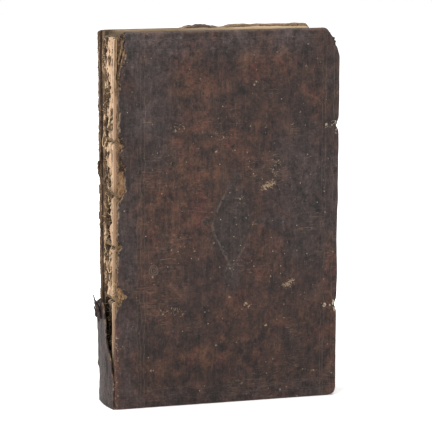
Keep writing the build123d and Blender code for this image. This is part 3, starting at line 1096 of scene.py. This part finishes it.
# %% Spikes and the hanging strip
# The spikes stand at the top of the flap, where it dries out and curls away from the spine.
spike_routes = (
    ([(-61.9, 3.6, 45.5), (-62.6, 4.8, 49.5), (-63.5, 6.2, 53.0), (-64.6, 8.2, 55.8), (-65.3, 9.8, 58.4)],
     7.0),
    ([(-62.9, 8.4, 49.4), (-63.5, 9.6, 52.6), (-63.8, 11.0, 54.4), (-64.0, 11.6, 55.9)], 3.2),
    ([(-62.8, 10.6, 46.0), (-63.1, 11.8, 48.6), (-63.4, 12.9, 50.0), (-63.6, 13.2, 51.2)], 2.6),
)
spike_shares = np.linspace(1, 0.0, 30) ** 1.15
spike_ribbons = [
    ribbon(smooth_path(route, 30), (0.1, 0.9, -0.45), width * spike_shares + 0.3, 116 + number, columns=8)
    for number, (route, width) in enumerate(spike_routes)
]
spikes = strip_piece("spine_spikes", spike_ribbons, 0.6, 0.15)

hooked = smooth_path([(-60.0, 13.0, 134.5), (-60.6, 13.2, 130), (-61.0, 11.6, 126.2), (-61.4, 7.6, 123.4),
                      (-61.5, 0.0, 119.8), (-61.2, -7.0, 116.6), (-60.5, -13.8, 113.6)], 60)
hooked_widths = np.interp(np.linspace(0, 1, 60), [0, 0.12, 0.3, 0.6, 0.9, 1], [0.8, 1.9, 3.0, 3.3, 2.9, 1.0])
loose_strip = strip_piece("hanging_strip", [ribbon(hooked, (0.1, 0.35, 1), hooked_widths, 120)], 0.6, 0.5)
print("spikes:", len(spike_ribbons))

# %% Strips at the head
# Some lie upright on the spine edge of the front board: from one height to another, how far in, how wide.
joint_ribbons = []
for number, (low, high, inwards, width) in enumerate(
    ((166.5, 198.5, 1.0, 1.7), (172, 198.8, 2.3, 1.4), (168, 190, 3.3, 1.2), (180, 199, 0.3, 0.9))
):
    z = np.linspace(low, high, 7)
    wave = 0.3 * rough(z / 6, number * 3.7, 2, seed=124)
    y = inwards + 0.9 + wave + (high - z) * 0.02 - face_y(z)
    route = np.stack([spine_x - 0.42 + 0.25 * wave + spine_wear(z), y, z], axis=-1)
    widths = tapered(48, 0.15, 0.2, (3, 3.6)) * width
    joint_ribbons.append(ribbon(smooth_path(route, 48), (0, 1, 0.05), widths, 126 + number, columns=6))
joint_strip = strip_piece("joint_remnant", joint_ribbons, 0.35)

# Others slant across the face of the cover, from one x and z to another.
slanting = []
for number, (x_low, z_low, x_high, z_high) in enumerate(
    ((0.6, 176, 4.9, 197.4), (1.6, 181, 5.6, 193), (0.2, 184, 3.2, 198.6), (2.4, 178.5, 5.2, 187))
):
    share = np.linspace(0, 1, 6)
    x = x_low + (x_high - x_low) * share**1.2
    z = z_low + (z_high - z_low) * share
    depth = 0.55 - 0.7 * np.sin(np.pi * share) - 0.25 * rough(z / 5, number * 2.9, 2, seed=130)
    route = place_cover(x + spine_wear(z), z, depth, 1)
    widths = tapered(44, 0.1, 0.3, (4, 4)) * (1.25 - 0.15 * number)
    slanting.append(ribbon(smooth_path(route, 44), (1, 0, -0.18), widths, 132 + number, columns=6))
slanting_strips = strip_piece("slanting_strips", slanting, 0.3)
print("strips at the head:", len(joint_ribbons) + len(slanting))

# %% [markdown]
# ## Torn fibres
# Leather and pasteboard tear into fibres. Some hundred short, tapering hairs along the torn edges break up
# their outline. Each has only a few faces.

# %% Fibres along the torn edges
random = np.random.default_rng(41)


def fibre(root, direction, length, radius):
    """A short hair that bends, thinner towards its tip."""
    share = np.linspace(0, 1, 5)[:, None]
    bend = random.normal(0, 0.3, 3) * length
    path = root + unit(direction) * length * share + bend * share**2
    return tube(path, radius * (1 - 0.75 * share[:, 0]), 4)


def edge_fibres(name, side, count):
    """Hairs that stand out from the torn edge of a cover's leather, thickest where the tears are large."""
    heights = random.uniform(3, cover_height - 2, 5 * count)
    depth_here = np.interp(heights, torn_heights, torn_depths)
    heights = heights[random.uniform(0, 1, len(heights)) < (depth_here / 5) ** 1.5][:count]
    parts = []
    for z, torn in zip(heights, torn_edge(heights, side)):
        x = torn - random.uniform(0, 1) ** 1.5 * torn
        root = place_cover(worn_back(x, z, side), z, 0.75, side)
        back, out, along = random.normal(-0.5, 0.5), random.uniform(0.15, 0.8), random.normal(-0.2, 0.8)
        direction = np.array([back, -side * out, along])
        parts.append(fibre(root, direction, random.uniform(0.8, 2.6), random.uniform(0.07, 0.16)))
    return close_poles(build_mesh(name, *join_parts(parts)))


front_fibres = edge_fibres("front_edge_fibres", 1, 380)
back_fibres = edge_fibres("back_edge_fibres", -1, 220)


# %% Fibres of the folds
def fold_fibres(count):
    """Hairs of paper and glue that stand out of the damaged folds, behind the smooth front one."""
    v = random.uniform(0.2, 0.98, count)
    z = random.uniform(8, 192, count)
    inner = spine_x + 0.2 + fold_line(v, z)
    parts = []
    for share, height, x in zip(v, z, inner):
        root = np.array([x + 0.2, (2 * share - 1) * half_text(height), height])
        direction = np.array([-1, random.normal(0, 0.6), random.normal(0, 1.1)])
        parts.append(fibre(root, direction, random.uniform(0.8, 2.2), random.uniform(0.08, 0.2)))
    return close_poles(build_mesh("fold_fibres", *join_parts(parts)))


paper_fibres = fold_fibres(700)
for piece in (front_fibres, back_fibres, paper_fibres):
    print(piece.name, "has", len(piece.data.polygons), "faces")

# %% [markdown]
# ## Stubs of the ties
# Two ties of pale, alum-tawed skin once closed the book at its fore-edge. Their torn-off stubs are still
# laced through each cover, a flat tongue with frayed ends, at the worn scoops.


# %% Tie stubs
def tie_tongue(x, z, width, tall, side):
    """One crumpled tongue: a flat tube along a short, turned line on the cover, bellied in its middle."""
    turn = random.normal(0, 0.35)
    share = np.linspace(-1, 1, 14)
    route_x = x + np.sin(turn) * share * tall / 2 + 0.18 * np.sin(5 * share)
    route_z = z + np.cos(turn) * share * tall / 2
    depth = 0.15 - 0.5 * (1 - share**2) + 0.35 * ease(x, cover_width - 3, cover_width) * (1 + share)
    angle = np.linspace(0, 2 * np.pi, 12, endpoint=False)
    lumps = 1 + 0.25 * rough(angle[None, :] * 1.3, share[:, None] * 3 + x, 2, seed=140)
    flat = np.hypot(np.cos(angle), 0.45 * np.sin(angle))[None, :]
    belly = np.sqrt(np.clip(1.02 - share**2, 0, 1))[:, None]
    return tube(place_cover(route_x, route_z, depth, side), width / 2 * belly * flat * lumps, 12)


def tie_stub(side, height, strength):
    """The parts of one stub: a tongue on the face, three more towards the scoop, and frayed strands."""
    tongues = (
        (cover_width - 7.6, height + 0.4, 2.4, 1.7),
        (cover_width - 2.6, height + 1.6, 1.5, 2.9),
        (cover_width - 1.9, height - 2.2, 1.2, 2.6),
        (cover_width - 4.4, height + 0.1, 1.2, 1.1),
    )
    parts = [tie_tongue(x, z, width * strength, tall * strength, side) for x, z, width, tall in tongues]
    for _ in range(int(16 * strength)):
        x, z, _, _ = tongues[random.integers(0, 4)]
        root = place_cover(x + random.normal(0, 0.5), z + random.normal(0, 0.9), 0.1, side)
        direction = np.array([random.normal(0.1, 0.7), -side * random.uniform(0.1, 0.8), random.normal(0, 1)])
        parts.append(fibre(root, direction, random.uniform(0.7, 1.9), random.uniform(0.07, 0.14)))
    return parts


def tie_stubs(name, side):
    """Both stubs of a cover as one piece. The upper one is more worn."""
    parts = tie_stub(side, tie_heights[0], 1.0) + tie_stub(side, tie_heights[1], 0.62)
    return close_poles(build_mesh(name, *join_parts(parts)))


front_stubs = tie_stubs("front_tie_remnants", 1)
back_stubs = tie_stubs("back_tie_remnants", -1)
print("stubs have", len(front_stubs.data.polygons), "faces on each cover")

# %% [markdown]
# ## Leather finish
# Old calf is a stack of things: a brown dye worn warm in the middle of the cover and greyed by dust and wax
# at its borders, with a painted sheen that lightens that grey at the head, a fine grain, creases that run up
# and down, blind-tooled lines, pale scratches and specks, bare spots where the surface has flaked, and tan
# suede where it is torn.


# %% Tooled lines
# Lines of the frame: x from the spine edge or z from the tail, and half their width.
upright_lines = ((13.4, 0.35), (11.6, 0.3), (15.4, 0.42), (114.2, 0.3), (116.0, 0.35), (120.6, 0.42))
level_lines = ((4.2, 0.35), (5.6, 0.3), (9.6, 0.3), (190.6, 0.3), (194.6, 0.3), (196.2, 0.4))
rosette_centre = (20.5, 74)
diamond_power = 1.2


def line(distance, half_width):
    """1 on a line and 0 beyond half its width, from the distance to its middle."""
    return 1 - distance.size().above(half_width * 0.3, half_width)


def lozenge(x, z, centre_x, centre_z, half_width, half_height):
    """The two shares of the way out, each to the same power, added: 1 on a lozenge with full sides."""
    across = ((x - centre_x).size() / half_width).power(diamond_power)
    up = ((z - centre_z).size() / half_height).power(diamond_power)
    return across + up


def tooled_lines(x, z):
    """Blind-tooled lines as dents: a frame of fine lines near the edges, the diamond with its small leaves,
    and a rosette. reach is the lozenge sum of whichever is nearest, so it is below 1 inside them."""
    upright = [line(x - place, half_width) for place, half_width in upright_lines]
    level = [line(z - place, half_width) * 0.75 for place, half_width in level_lines]
    reach = lozenge(x, z, *diamond_centre, *diamond_half)
    diamond = line(reach - 1.0, 0.09)
    for finial in finials:
        leaf = lozenge(x, z, *finial)
        diamond = larger(diamond, line(leaf - 1.0, 0.3) * 0.5)
        reach = smaller(reach, leaf)
    ring_x, ring_z = x - rosette_centre[0], z - rosette_centre[1]
    radius = (ring_x * ring_x + ring_z * ring_z).root()
    rosette = larger(line(radius - 2.5, 0.4), line(radius - 1.5, 0.3), line(radius, 0.7))
    return SimpleNamespace(frame=larger(*upright, *level), diamond=diamond, rosette=rosette, reach=reach)


# %% Patterns and dye of the calf
def calf_patterns(place):
    """The patterns that several layers of the finish share, from 0 to 1."""
    creases = cloud(stretched(place, (1, 1, 0.16)), 1.9, 5, 0.6, distortion=0.6)
    return SimpleNamespace(
        mottle=cloud(place, 4.2, 6, 0.65),
        streak=cloud(stretched(place, (1, 1, 0.09)), 1.5, 5, 0.65),
        grain=cells(place, 0.62),
        pores=cloud(place, 0.7, 3, 0.6),
        crease_line=1 - (creases - 0.5).size().above(0.0, 0.028),
        wear_break=cloud(place, 7, 4, 0.6),
        granular=cloud(place, 1.5, 6, 0.75),
        dents=cloud(stretched(place, (1, 1, 0.8), (9, 4, 2)), 2.6, 4, 0.6),
        patch=cloud(place, 8, 4, 0.5),
        dark_pores=cloud(place, 1.1, 3, 0.6).above(0.6, 0.7),
        holes=1 - cells(stretched(place, (1, 1, 1), (3.1, 0, 7.7)), 9.0).above(0.04, 0.06),
    )


def dyed_leather(place, z, mask, pattern, reach):
    """The brown dye: warmer and redder where it is worn, grey at the borders and lighter there at the head as
    a painted sheen, dark inside the diamond.
    """
    warm_share = clamp(mask.warm * (pattern.mottle.above(0.3, 0.62) * 0.85 + 0.15))
    red_share = mask.warm * cloud(place, 11, 3, 0.5).above(0.48, 0.68)
    cold_share = clamp(mask.cold * (pattern.mottle.above(0.25, 0.7) * 0.6 + 0.4))
    broad = cloud(place, 16, 5, 0.6)
    colour = layered(
        blend_colour((0.018, 0.0084, 0.0066), (0.032, 0.0142, 0.0102), broad.above(0.35, 0.65)),
        ((0.048, 0.0186, 0.011), warm_share * 0.85),
        ((0.06, 0.0265, 0.0125), clamp(warm_share * pattern.patch.above(0.5, 0.62)) * 0.6),
        ((0.05, 0.0135, 0.0098), red_share * 0.7),
        # Painted sheen: the grey of the borders turns lighter and bluer towards the head.
        (blend_colour((0.031, 0.0236, 0.0238), (0.04, 0.034, 0.036), z.above(176, 192)), cold_share * 0.8),
        ((0.021, 0.0135, 0.011), (1 - reach.above(0.9, 1.04)) * 0.7),
    )
    brightness = 1 + 4.1 * (pattern.granular - 0.5) + 2.2 * (pattern.mottle - 0.5)
    brightness = brightness + 1.2 * (pattern.streak - 0.5) + 2.0 * (pattern.dents - 0.5)
    brightness = brightness + 1.7 * (pattern.patch - 0.5)
    colour = scaled_colour(colour, larger(brightness, 0.12))
    return blend_colour(colour, (0.009, 0.0055, 0.0045), pattern.dark_pores * 0.42)


# %% Dirt and damage of the calf
def soiled_leather(colour, place, pattern, tooling):
    """Dust in the creases and tooled lines, then scratches, dusty grain, pale spots, specks and holes."""
    dust = pattern.crease_line * 0.4 * pattern.streak.above(0.45, 0.65) + tooling.frame * 0.34
    dust = clamp(dust + tooling.diamond * 0.6 + tooling.rosette * 0.7)
    stroke = cloud(stretched(place, (0.12, 1, 1.1)), 2.6, 3, 0.6, distortion=1.2)
    scratch = (1 - (stroke - 0.5).size().above(0.0, 0.014)) * cloud(place, 22, 2).above(0.5, 0.64)
    colour = layered(
        colour,
        ((0.12, 0.086, 0.066), dust * 0.8),
        ((0.2, 0.13, 0.088), clamp(scratch * 0.45)),
        ((0.14, 0.105, 0.082), pattern.granular.above(0.62, 0.72) * 0.5),
    )
    for size, shift in ((3.3, 1.7), (7.0, 5.1)):
        distance = cells(stretched(place, (1, 1, 1), (shift, shift, shift)), size)
        spot = 1 - (distance + 0.35 * (pattern.pores - 0.5)).above(0.035, 0.09)
        spot = spot * cloud(place, 15, 2).above(0.4, 0.6)
        colour = blend_colour(colour, (0.3, 0.23, 0.17), clamp(spot * 0.6))
    cell_number = cells(place, 5.2, output=1)
    chosen = cell_number.maths("GREATER_THAN", cell_number, 0.5)
    specks = (1 - cells(place, 5.2).above(0.03, 0.075)) * chosen
    return layered(
        colour,
        ((0.42, 0.33, 0.25), clamp(specks * 0.7)),
        ((0.006, 0.004, 0.003), pattern.holes),
    )


def bared_leather(colour, z, mask, pattern):
    """The flesh of the skin where its surface is rubbed, flaked or torn. Also gives those three shares."""
    rubbed = pattern.wear_break.above(0.38, 0.62) * 0.75 + pattern.pores.above(0.4, 0.6) * 0.25
    worn = clamp(mask.rim * rubbed)
    broken = mask.bare + (pattern.pores - 0.5) * 2.6 + (pattern.granular - 0.5) * 4.2
    flake = clamp(broken.above(0.62, 0.9)) * mask.bare.above(0.06, 0.3)
    suede = mask.torn * pattern.wear_break.above(0.36, 0.56) * pattern.dents.above(0.36, 0.56)
    suede = clamp((suede + (pattern.pores - 0.5) * 0.7).above(0.4, 0.75))
    tan = blend_colour((0.22, 0.132, 0.074), (0.4, 0.285, 0.185), pattern.pores.above(0.35, 0.65))
    colour = layered(
        colour,
        (blend_colour((0.155, 0.088, 0.052), (0.13, 0.04, 0.024), z.above(92, 70)), worn * 0.5),
        (scaled_colour(tan, 0.5 + 0.7 * pattern.dents), flake * 0.85),
        (scaled_colour(tan, 0.45 + 0.5 * pattern.mottle), suede * 0.8),
        ((0.15, 0.098, 0.06), clamp(mask.under * 0.55 * (1 - flake))),
    )
    return colour, worn, flake, suede


# %% Leather
def leather_material():
    """The whole finish of the calf, on its covers and on the spine."""
    material, tree = new_tree("old_calf")
    place = object_place(tree)
    world_x, _, z = split(place)
    x = world_x - spine_x
    mask = read_masks(tree, "warm", "cold", "bare", "torn", "rim", "under")
    pattern = calf_patterns(place)
    wander = cloud(place, 9, 3) - 0.5
    tooling = tooled_lines(x + 3.5 * wander, z + 5 * wander)
    patchy = pattern.wear_break.above(0.36, 0.62)
    low_left = (x + 0.35 * z).above(104, 92)
    tooling.frame = tooling.frame * (0.35 + 0.65 * patchy)
    kept = 0.06 + 0.2 * patchy + 0.8 * low_left * pattern.mottle.above(0.4, 0.56)
    tooling.diamond = tooling.diamond * kept
    colour = dyed_leather(place, z, mask, pattern, tooling.reach)
    colour = soiled_leather(colour, place, pattern, tooling)
    colour, worn, flake, suede = bared_leather(colour, z, mask, pattern)
    roughness = 0.4 + 0.16 * pattern.mottle + 0.12 * pattern.grain.above(0.1, 0.6)
    roughness = roughness + 0.28 * flake + 0.36 * suede - 0.06 * worn
    height = 0.05 * pattern.grain + 0.08 * pattern.pores + 0.09 * pattern.streak
    height = height - 0.2 * pattern.crease_line * pattern.streak
    height = height - 0.22 * tooling.frame - 0.2 * tooling.diamond - 0.22 * tooling.rosette
    height = height - 0.5 * pattern.holes - 0.2 * flake
    height = height + 0.2 * pattern.mottle + 0.12 * suede * cloud(place, 0.5, 3) - 0.1 * pattern.dark_pores
    height = height + 0.5 * pattern.granular + 0.6 * pattern.dents
    finish_material("old_calf", colour, roughness, height, specular=0.3)
    return material


calf = leather_material()


# %% Torn leather
def torn_leather_material(name, pale, dark):
    """Torn leather with strands in two colours."""
    material, tree = new_tree(name)
    place = object_place(tree)
    torn = mesh_mask(tree, "torn")
    strands = cloud(stretched(place, (1, 1, 0.22)), 0.7, 4, 0.65)
    blotch = cloud(place, 3.6, 4, 0.6)
    colour = layered(
        blend_colour(dark, pale, strands.above(0.36, 0.66)),
        ((0.03, 0.018, 0.013), blotch.above(0.5, 0.66) * 0.7),
        ((0.34, 0.22, 0.125), clamp(torn * strands.above(0.4, 0.62)) * 0.6),
    )
    height = 0.35 * strands + 0.15 * cloud(place, 0.6, 3)
    finish_material(name, colour, 0.82 + 0.1 * blotch, height, specular=0.25)
    return material


torn_flesh = torn_leather_material("torn_flesh_side", (0.2, 0.125, 0.07), (0.05, 0.029, 0.018))
dried_strip = torn_leather_material("dried_strip", (0.09, 0.054, 0.034), (0.02, 0.012, 0.009))

# %% [markdown]
# ## Paper, board and thread finishes
# The folds are cream rag paper, browned by glue and soot between the ridges and darkened there by painted
# shade. The cut edges are darker and dusty, with painted shade at the head, and each leaf is a fine line.
# The pasteboard is a felt of brown fibres in layers, with painted shade on its spine edge.


# %% Colours of the leaves
def painted_head_shade(x, z, least, more):
    """How much darker painted shade makes the paper at the head: a share everywhere, and more towards the
    spine.
    """
    return z.above(190, 195) * (least + more * x.above(30, -8))


def fold_colours(place, z, mask, vertical, fine):
    """The spine folds: cream ridges with glue and soot between, and painted shade in the cracks, on the front
    flank of each ridge and behind the spine flap. Also gives the share that is stained and shaded.
    """
    soot = cloud(stretched(place, (1, 1, 0.4)), 3.2, 5, 0.7)
    wisps = cloud(stretched(place, (1, 1, 0.35)), 0.9, 4, 0.65)
    behind_front = mask.leaf.above(0.18, 0.22)
    front_fold = layered(
        blend_colour((0.66, 0.49, 0.345), (0.46, 0.31, 0.2), vertical.above(0.45, 0.7)),
        ((0.34, 0.22, 0.14), soot.above(0.49, 0.62) * 0.6),
    )
    cream = blend_colour((0.52, 0.37, 0.25), (0.36, 0.22, 0.13), vertical.above(0.42, 0.66))
    glue = blend_colour((0.17, 0.1, 0.05), (0.045, 0.026, 0.014), soot.above(0.42, 0.58))
    low = z.above(122, 112) * z.above(60, 66) * mask.leaf.above(0.36, 0.4)
    to_back = larger(mask.leaf.above(0.52, 0.7), low * 0.8)
    # The stain grows with the crack depth and on the front flanks, so it is part glue and soot, part painted
    # shade.
    stain_and_shade = 0.8 * mask.crack + 2.6 * (soot - 0.5) + 0.7 * (fine - 0.5) + 0.3 * to_back + 0.42 * mask.flank
    behind_strip = z.above(106, 114) * z.above(150, 138) * mask.leaf.above(0.9, 0.8)
    stained_and_shaded = clamp((stain_and_shade - 0.42 * behind_strip).above(0.3, 0.44)) * behind_front
    colour = layered(
        front_fold,
        (cream, behind_front),
        (glue, stained_and_shaded),
        ((0.56, 0.41, 0.28), wisps.above(0.58, 0.64) * mask.leaf.above(0.2, 0.3) * 0.75),
        # Painted shade: the first gathering turns brown on its side towards the front board.
        ((0.17, 0.09, 0.045), clamp(mask.leaf.above(0.13, 0.06) * 0.85)),
    )
    # Painted shade: the folds are darkened in the cracks, on the front flank of each ridge and most of all
    # behind the spine flap.
    behind_flap = z.above(61, 53) * mask.leaf.above(0.12, 0.18)
    lit = (1.0 - 0.9 * mask.crack.above(0.1, 0.8)) * (1 - 0.5 * mask.flank) * (1 - 0.85 * behind_flap)
    return scaled_colour(colour, lit), stained_and_shaded


def cut_edge_colours(x, z, mask, blotch):
    """The cut edges: each leaf a fine line, with dark gaps, a dusty head and painted shade at the head. Also
    gives the lines.
    """
    strata = cloud(as_place(mask.leaf * 190, mask.inward * 2 + x * 0.012, z * 0.02), 1.0, 4, 0.7)
    gaps = cloud(as_place(mask.leaf * 60, mask.inward * 0.4, z * 0.008), 1.0, 3, 0.6)
    soiled = z.above(180, 194) * x.above(spine_x + 40, spine_x + 6)
    colour = layered(
        blend_colour((0.2, 0.135, 0.08), (0.46, 0.355, 0.245), strata.above(0.34, 0.64)),
        ((0.07, 0.045, 0.028), (1 - gaps.above(0.3, 0.4)) * 0.8),
        ((0.14, 0.1, 0.07), blotch.above(0.4, 0.75) * 0.5),
        ((0.1, 0.07, 0.045), soiled * (0.35 + 0.5 * blotch)),
    )
    # Painted shade darkens the cut edges at the head.
    return scaled_colour(colour, 1 - painted_head_shade(x, z, 0.2, 0.38)), strata


# %% Leaves
def leaves_material():
    """Rag paper: the faces of the outer leaves, the cut edges and the folds."""
    material, tree = new_tree("rag_paper")
    place = object_place(tree)
    x, _, z = split(place)
    mask = read_masks(tree, "leaf", "fold", "cut", "crack", "inward", "flank")
    blotch = cloud(place, 9, 5, 0.62)
    fine = cloud(place, 1.1, 4, 0.6)
    foxing = cloud(place, 4.5, 5, 0.7).above(0.58, 0.72)
    vertical = cloud(stretched(place, (1, 1, 0.05)), 0.55, 4, 0.6)
    near_edge = larger(mask.inward.above(0.86, 1.0), 1 - mask.inward.above(0.0, 0.12))
    edge, strata = cut_edge_colours(x, z, mask, blotch)
    folds, stained_and_shaded = fold_colours(place, z, mask, vertical, fine)
    colour = layered(
        blend_colour((0.62, 0.49, 0.33), (0.5, 0.37, 0.225), blotch.above(0.35, 0.7)),
        ((0.32, 0.19, 0.095), foxing * 0.35),
        ((0.3, 0.2, 0.115), near_edge * 0.45),
        (edge, mask.cut),
        (folds, mask.fold),
    )
    height = 0.28 * strata * mask.cut + (0.2 * vertical + 0.25 * fine * stained_and_shaded) * mask.fold
    height = height + 0.05 * fine + 0.12 * blotch * (1 - larger(mask.cut, mask.fold))
    finish_material("rag_paper", colour, 0.8 + 0.12 * fine, height, specular=0.25)
    return material


rag_paper = leaves_material()


# %% Pastedowns
def pastedown_material():
    """Laid paper, browned over the turn-ins, glued and dark at the spine side, with painted shade at the head
    and a few worm holes.
    """
    material, tree = new_tree("pasted_paper")
    place = object_place(tree)
    x, _, z = split(place)
    blotch = cloud(place, 14, 5, 0.62)
    fine = cloud(place, 0.9, 4, 0.6)
    spots = cloud(place, 3.4, 5, 0.7).above(0.6, 0.72)
    scraps = cloud(stretched(place, (1, 1, 0.4)), 1.6, 4, 0.65).above(0.5, 0.6)
    worm = 1 - cells(place, 14).above(0.03, 0.05)
    from_sides = (x - (spine_x + cover_width / 2)).size() - (cover_width / 2 - 15)
    from_ends = (z - 100).size() - (100 - 15)
    border = (larger(from_sides, from_ends) + (cloud(place, 7, 4) - 0.5) * 9).above(-2.5, 3.5)
    glued = (x + 4 * (blotch - 0.5)).above(spine_x + 11, spine_x + 5)
    glue = blend_colour((0.06, 0.036, 0.02), (0.24, 0.16, 0.1), scraps)
    colour = layered(
        blend_colour((0.56, 0.43, 0.28), (0.45, 0.32, 0.19), blotch.above(0.3, 0.7)),
        ((0.26, 0.15, 0.075), border * 0.6 * (1 - z.above(191, 196))),
        ((0.22, 0.12, 0.06), spots * 0.4),
        (glue, glued * (0.6 + 0.5 * fine)),
    )
    # Painted shade darkens the pasted sheet at the head.
    colour = scaled_colour(colour, 1 - painted_head_shade(x, z, 0.15, 0.35))
    colour = blend_colour(colour, (0.03, 0.02, 0.012), worm)
    laid = place.node("ShaderNodeTexWave", {"bands_direction": "X"}, {"Vector": place, "Scale": 0.3})
    height = 0.1 * fine + 0.04 * laid + 0.25 * blotch - 0.2 * worm
    finish_material("pasted_paper", colour, 0.82 + 0.1 * fine, height, specular=0.25)
    return material


pasted_paper = pastedown_material()


# %% Boards
def board_material():
    """Pasteboard: dark felt on its face, tan where torn leather stayed on it, layered at its spine edge and
    darkened there by painted shade.
    """
    material, tree = new_tree("pasteboard")
    place = object_place(tree)
    mask = read_masks(tree, "tan", "edge")
    felt = cloud(stretched(place, (1, 1, 0.45)), 0.8, 5, 0.7)
    layers = cloud(stretched(place, (0.5, 2.2, 0.1)), 0.9, 4, 0.65)
    blotch = cloud(place, 5.5, 4, 0.6)
    tears = cloud(stretched(place, (1, 1, 0.5)), 1.3, 4, 0.7).above(0.52, 0.6)
    tan = layered(
        blend_colour((0.1, 0.054, 0.027), (0.34, 0.2, 0.105), felt.above(0.38, 0.6)),
        ((0.045, 0.026, 0.016), tears * 0.8),
        ((0.46, 0.31, 0.18), layers.above(0.56, 0.66) * 0.5),
    )
    # The spine edge: dark brown layers, made darker still as painted shade of the gap beside the folds.
    side = layered(
        blend_colour((0.055, 0.032, 0.019), (0.15, 0.088, 0.05), layers.above(0.4, 0.62)),
        ((0.36, 0.25, 0.155), (felt + blotch - 1).above(0.06, 0.12) * 0.6),
    )
    colour = layered(
        blend_colour((0.024, 0.0155, 0.012), (0.085, 0.05, 0.031), felt.above(0.42, 0.68)),
        (tan, clamp((mask.tan + (blotch - 0.5) * 0.7).above(0.3, 0.6))),
        (side, mask.edge),
        ((0.035, 0.02, 0.012), blotch.above(0.54, 0.7) * 0.5),
    )
    finish_material("pasteboard", colour, 0.86 + 0.08 * felt, 0.6 * felt + 0.5 * layers, specular=0.2)
    return material


pasteboard = board_material()


# %% Cords, threads and fibres
def strand_material(name, pale, dark, size):
    """Twisted or frayed strands in two colours, soiled in places."""
    material, tree = new_tree(name)
    place = object_place(tree)
    strands = cloud(stretched(place, (1.6, 0.6, 1.6)), size, 4, 0.6)
    soiled = cloud(place, size * 6, 4, 0.65)
    colour = blend_colour(dark, pale, strands.above(0.34, 0.62))
    colour = scaled_colour(colour, 1 - 0.6 * soiled.above(0.48, 0.66))
    finish_material(name, colour, 0.82 + 0.1 * strands, 0.3 * strands, specular=0.25)
    return material


cord_finish = strand_material("hemp_cord", (0.25, 0.165, 0.09), (0.07, 0.042, 0.022), 0.5)
thread_finish = strand_material("linen_thread", (0.66, 0.5, 0.31), (0.36, 0.24, 0.13), 0.4)
fibre_finish = strand_material("paper_fibre", (0.56, 0.4, 0.23), (0.24, 0.14, 0.065), 0.8)
tawed_skin = strand_material("tawed_skin", (0.55, 0.47, 0.37), (0.2, 0.15, 0.1), 0.5)
flesh_fibre = strand_material("flesh_fibre", (0.4, 0.255, 0.135), (0.12, 0.066, 0.034), 0.6)

# %% [markdown]
# ## Dress the pieces
# Each piece gets its finish, rides on its body and stands for the CAD nodes that it shows. The spine leather
# rides on no body, and its place is baked into its mesh.

# %% Dress the pieces
dress(text_block, "pages", rag_paper, "paper", "text_block")
dress(front_skin, "front_cover", calf, "leather", "front_leather")
dress(back_skin, "back_cover", calf, "leather", "back_leather")
for body in cover_sides:
    dress(boards[body], body, pasteboard, "board", body.replace("cover", "board"))
    dress(pastedowns[body], body, pasted_paper, "paper", body.replace("cover", "pastedown"))
for number, piece in enumerate(cords, start=1):
    dress(piece, "pages", cord_finish, "cord", f"sewing_cord_{number}")
dress(threads, "pages", thread_finish, "cord")
dress(paper_fibres, "pages", fibre_finish, "paper")
dress(loose_strip, "pages", dried_strip, "torn_leather", "loose_strip")
dress(joint_strip, "front_cover", torn_flesh, "torn_leather", "front_joint_strip")
dress(slanting_strips, "front_cover", torn_flesh, "torn_leather")
dress(front_fibres, "front_cover", flesh_fibre, "torn_leather")
dress(back_fibres, "back_cover", flesh_fibre, "torn_leather")
dress(front_stubs, "front_cover", tawed_skin, "tie", "front_tie_stubs")
dress(back_stubs, "back_cover", tawed_skin, "tie", "back_tie_stubs")
dress(spikes, "pages", calf, "leather")
dress(spine_remnant, None, calf, "leather", "spine_leather")
bend_start = Vector((spine_x - 1.6, tail_half - 1.5, 25)) * MM
bend_end = Vector((spine_x + 2.2, tail_half + 1.2, 25)) * MM
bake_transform(spine_remnant)
for side in ("front", "back"):
    slips = frame["nodes"][f"{side}_lacing_slips"]
    slips.data.materials.clear()
    slips.data.materials.append(cord_finish)

# %% [markdown]
# ## Floor
# The floor glows a little, more so away from the book, so that it melts into the pale surround. It is only
# part of the stage.

# %% Floor
floor_half = 3000
corners = [(-floor_half, -floor_half, 0), (floor_half, -floor_half, 0),
           (floor_half, floor_half, 0), (-floor_half, floor_half, 0)]
floor = build_mesh("floor", corners, [[0, 1, 2, 3]])
floor_material, floor_tree = new_tree("pale_floor")
floor_place = object_place(floor_tree)
floor_shade = blend_colour((0.93, 0.93, 0.93), (0.95, 0.95, 0.95), cloud(floor_place, 300, 2))
finish_material("pale_floor", floor_shade, 0.7, 0.002 * cloud(floor_place, 20), specular=0.2)
across, along, _ = split(floor_place)
distance = (across * across + along * along).root()
glow = blend_colour((0, 0, 0), (1, 1, 1), 0.14 + 0.6 * distance.above(130, 420))
floor_surface = floor_tree.nodes["Principled BSDF"]
floor_tree.links.new(glow.socket, floor_surface.inputs["Emission Color"])
floor_surface.inputs["Emission Strength"].default_value = 1.0
floor.data.materials.append(floor_material)
print("floor is", 2 * floor_half, "mm wide")
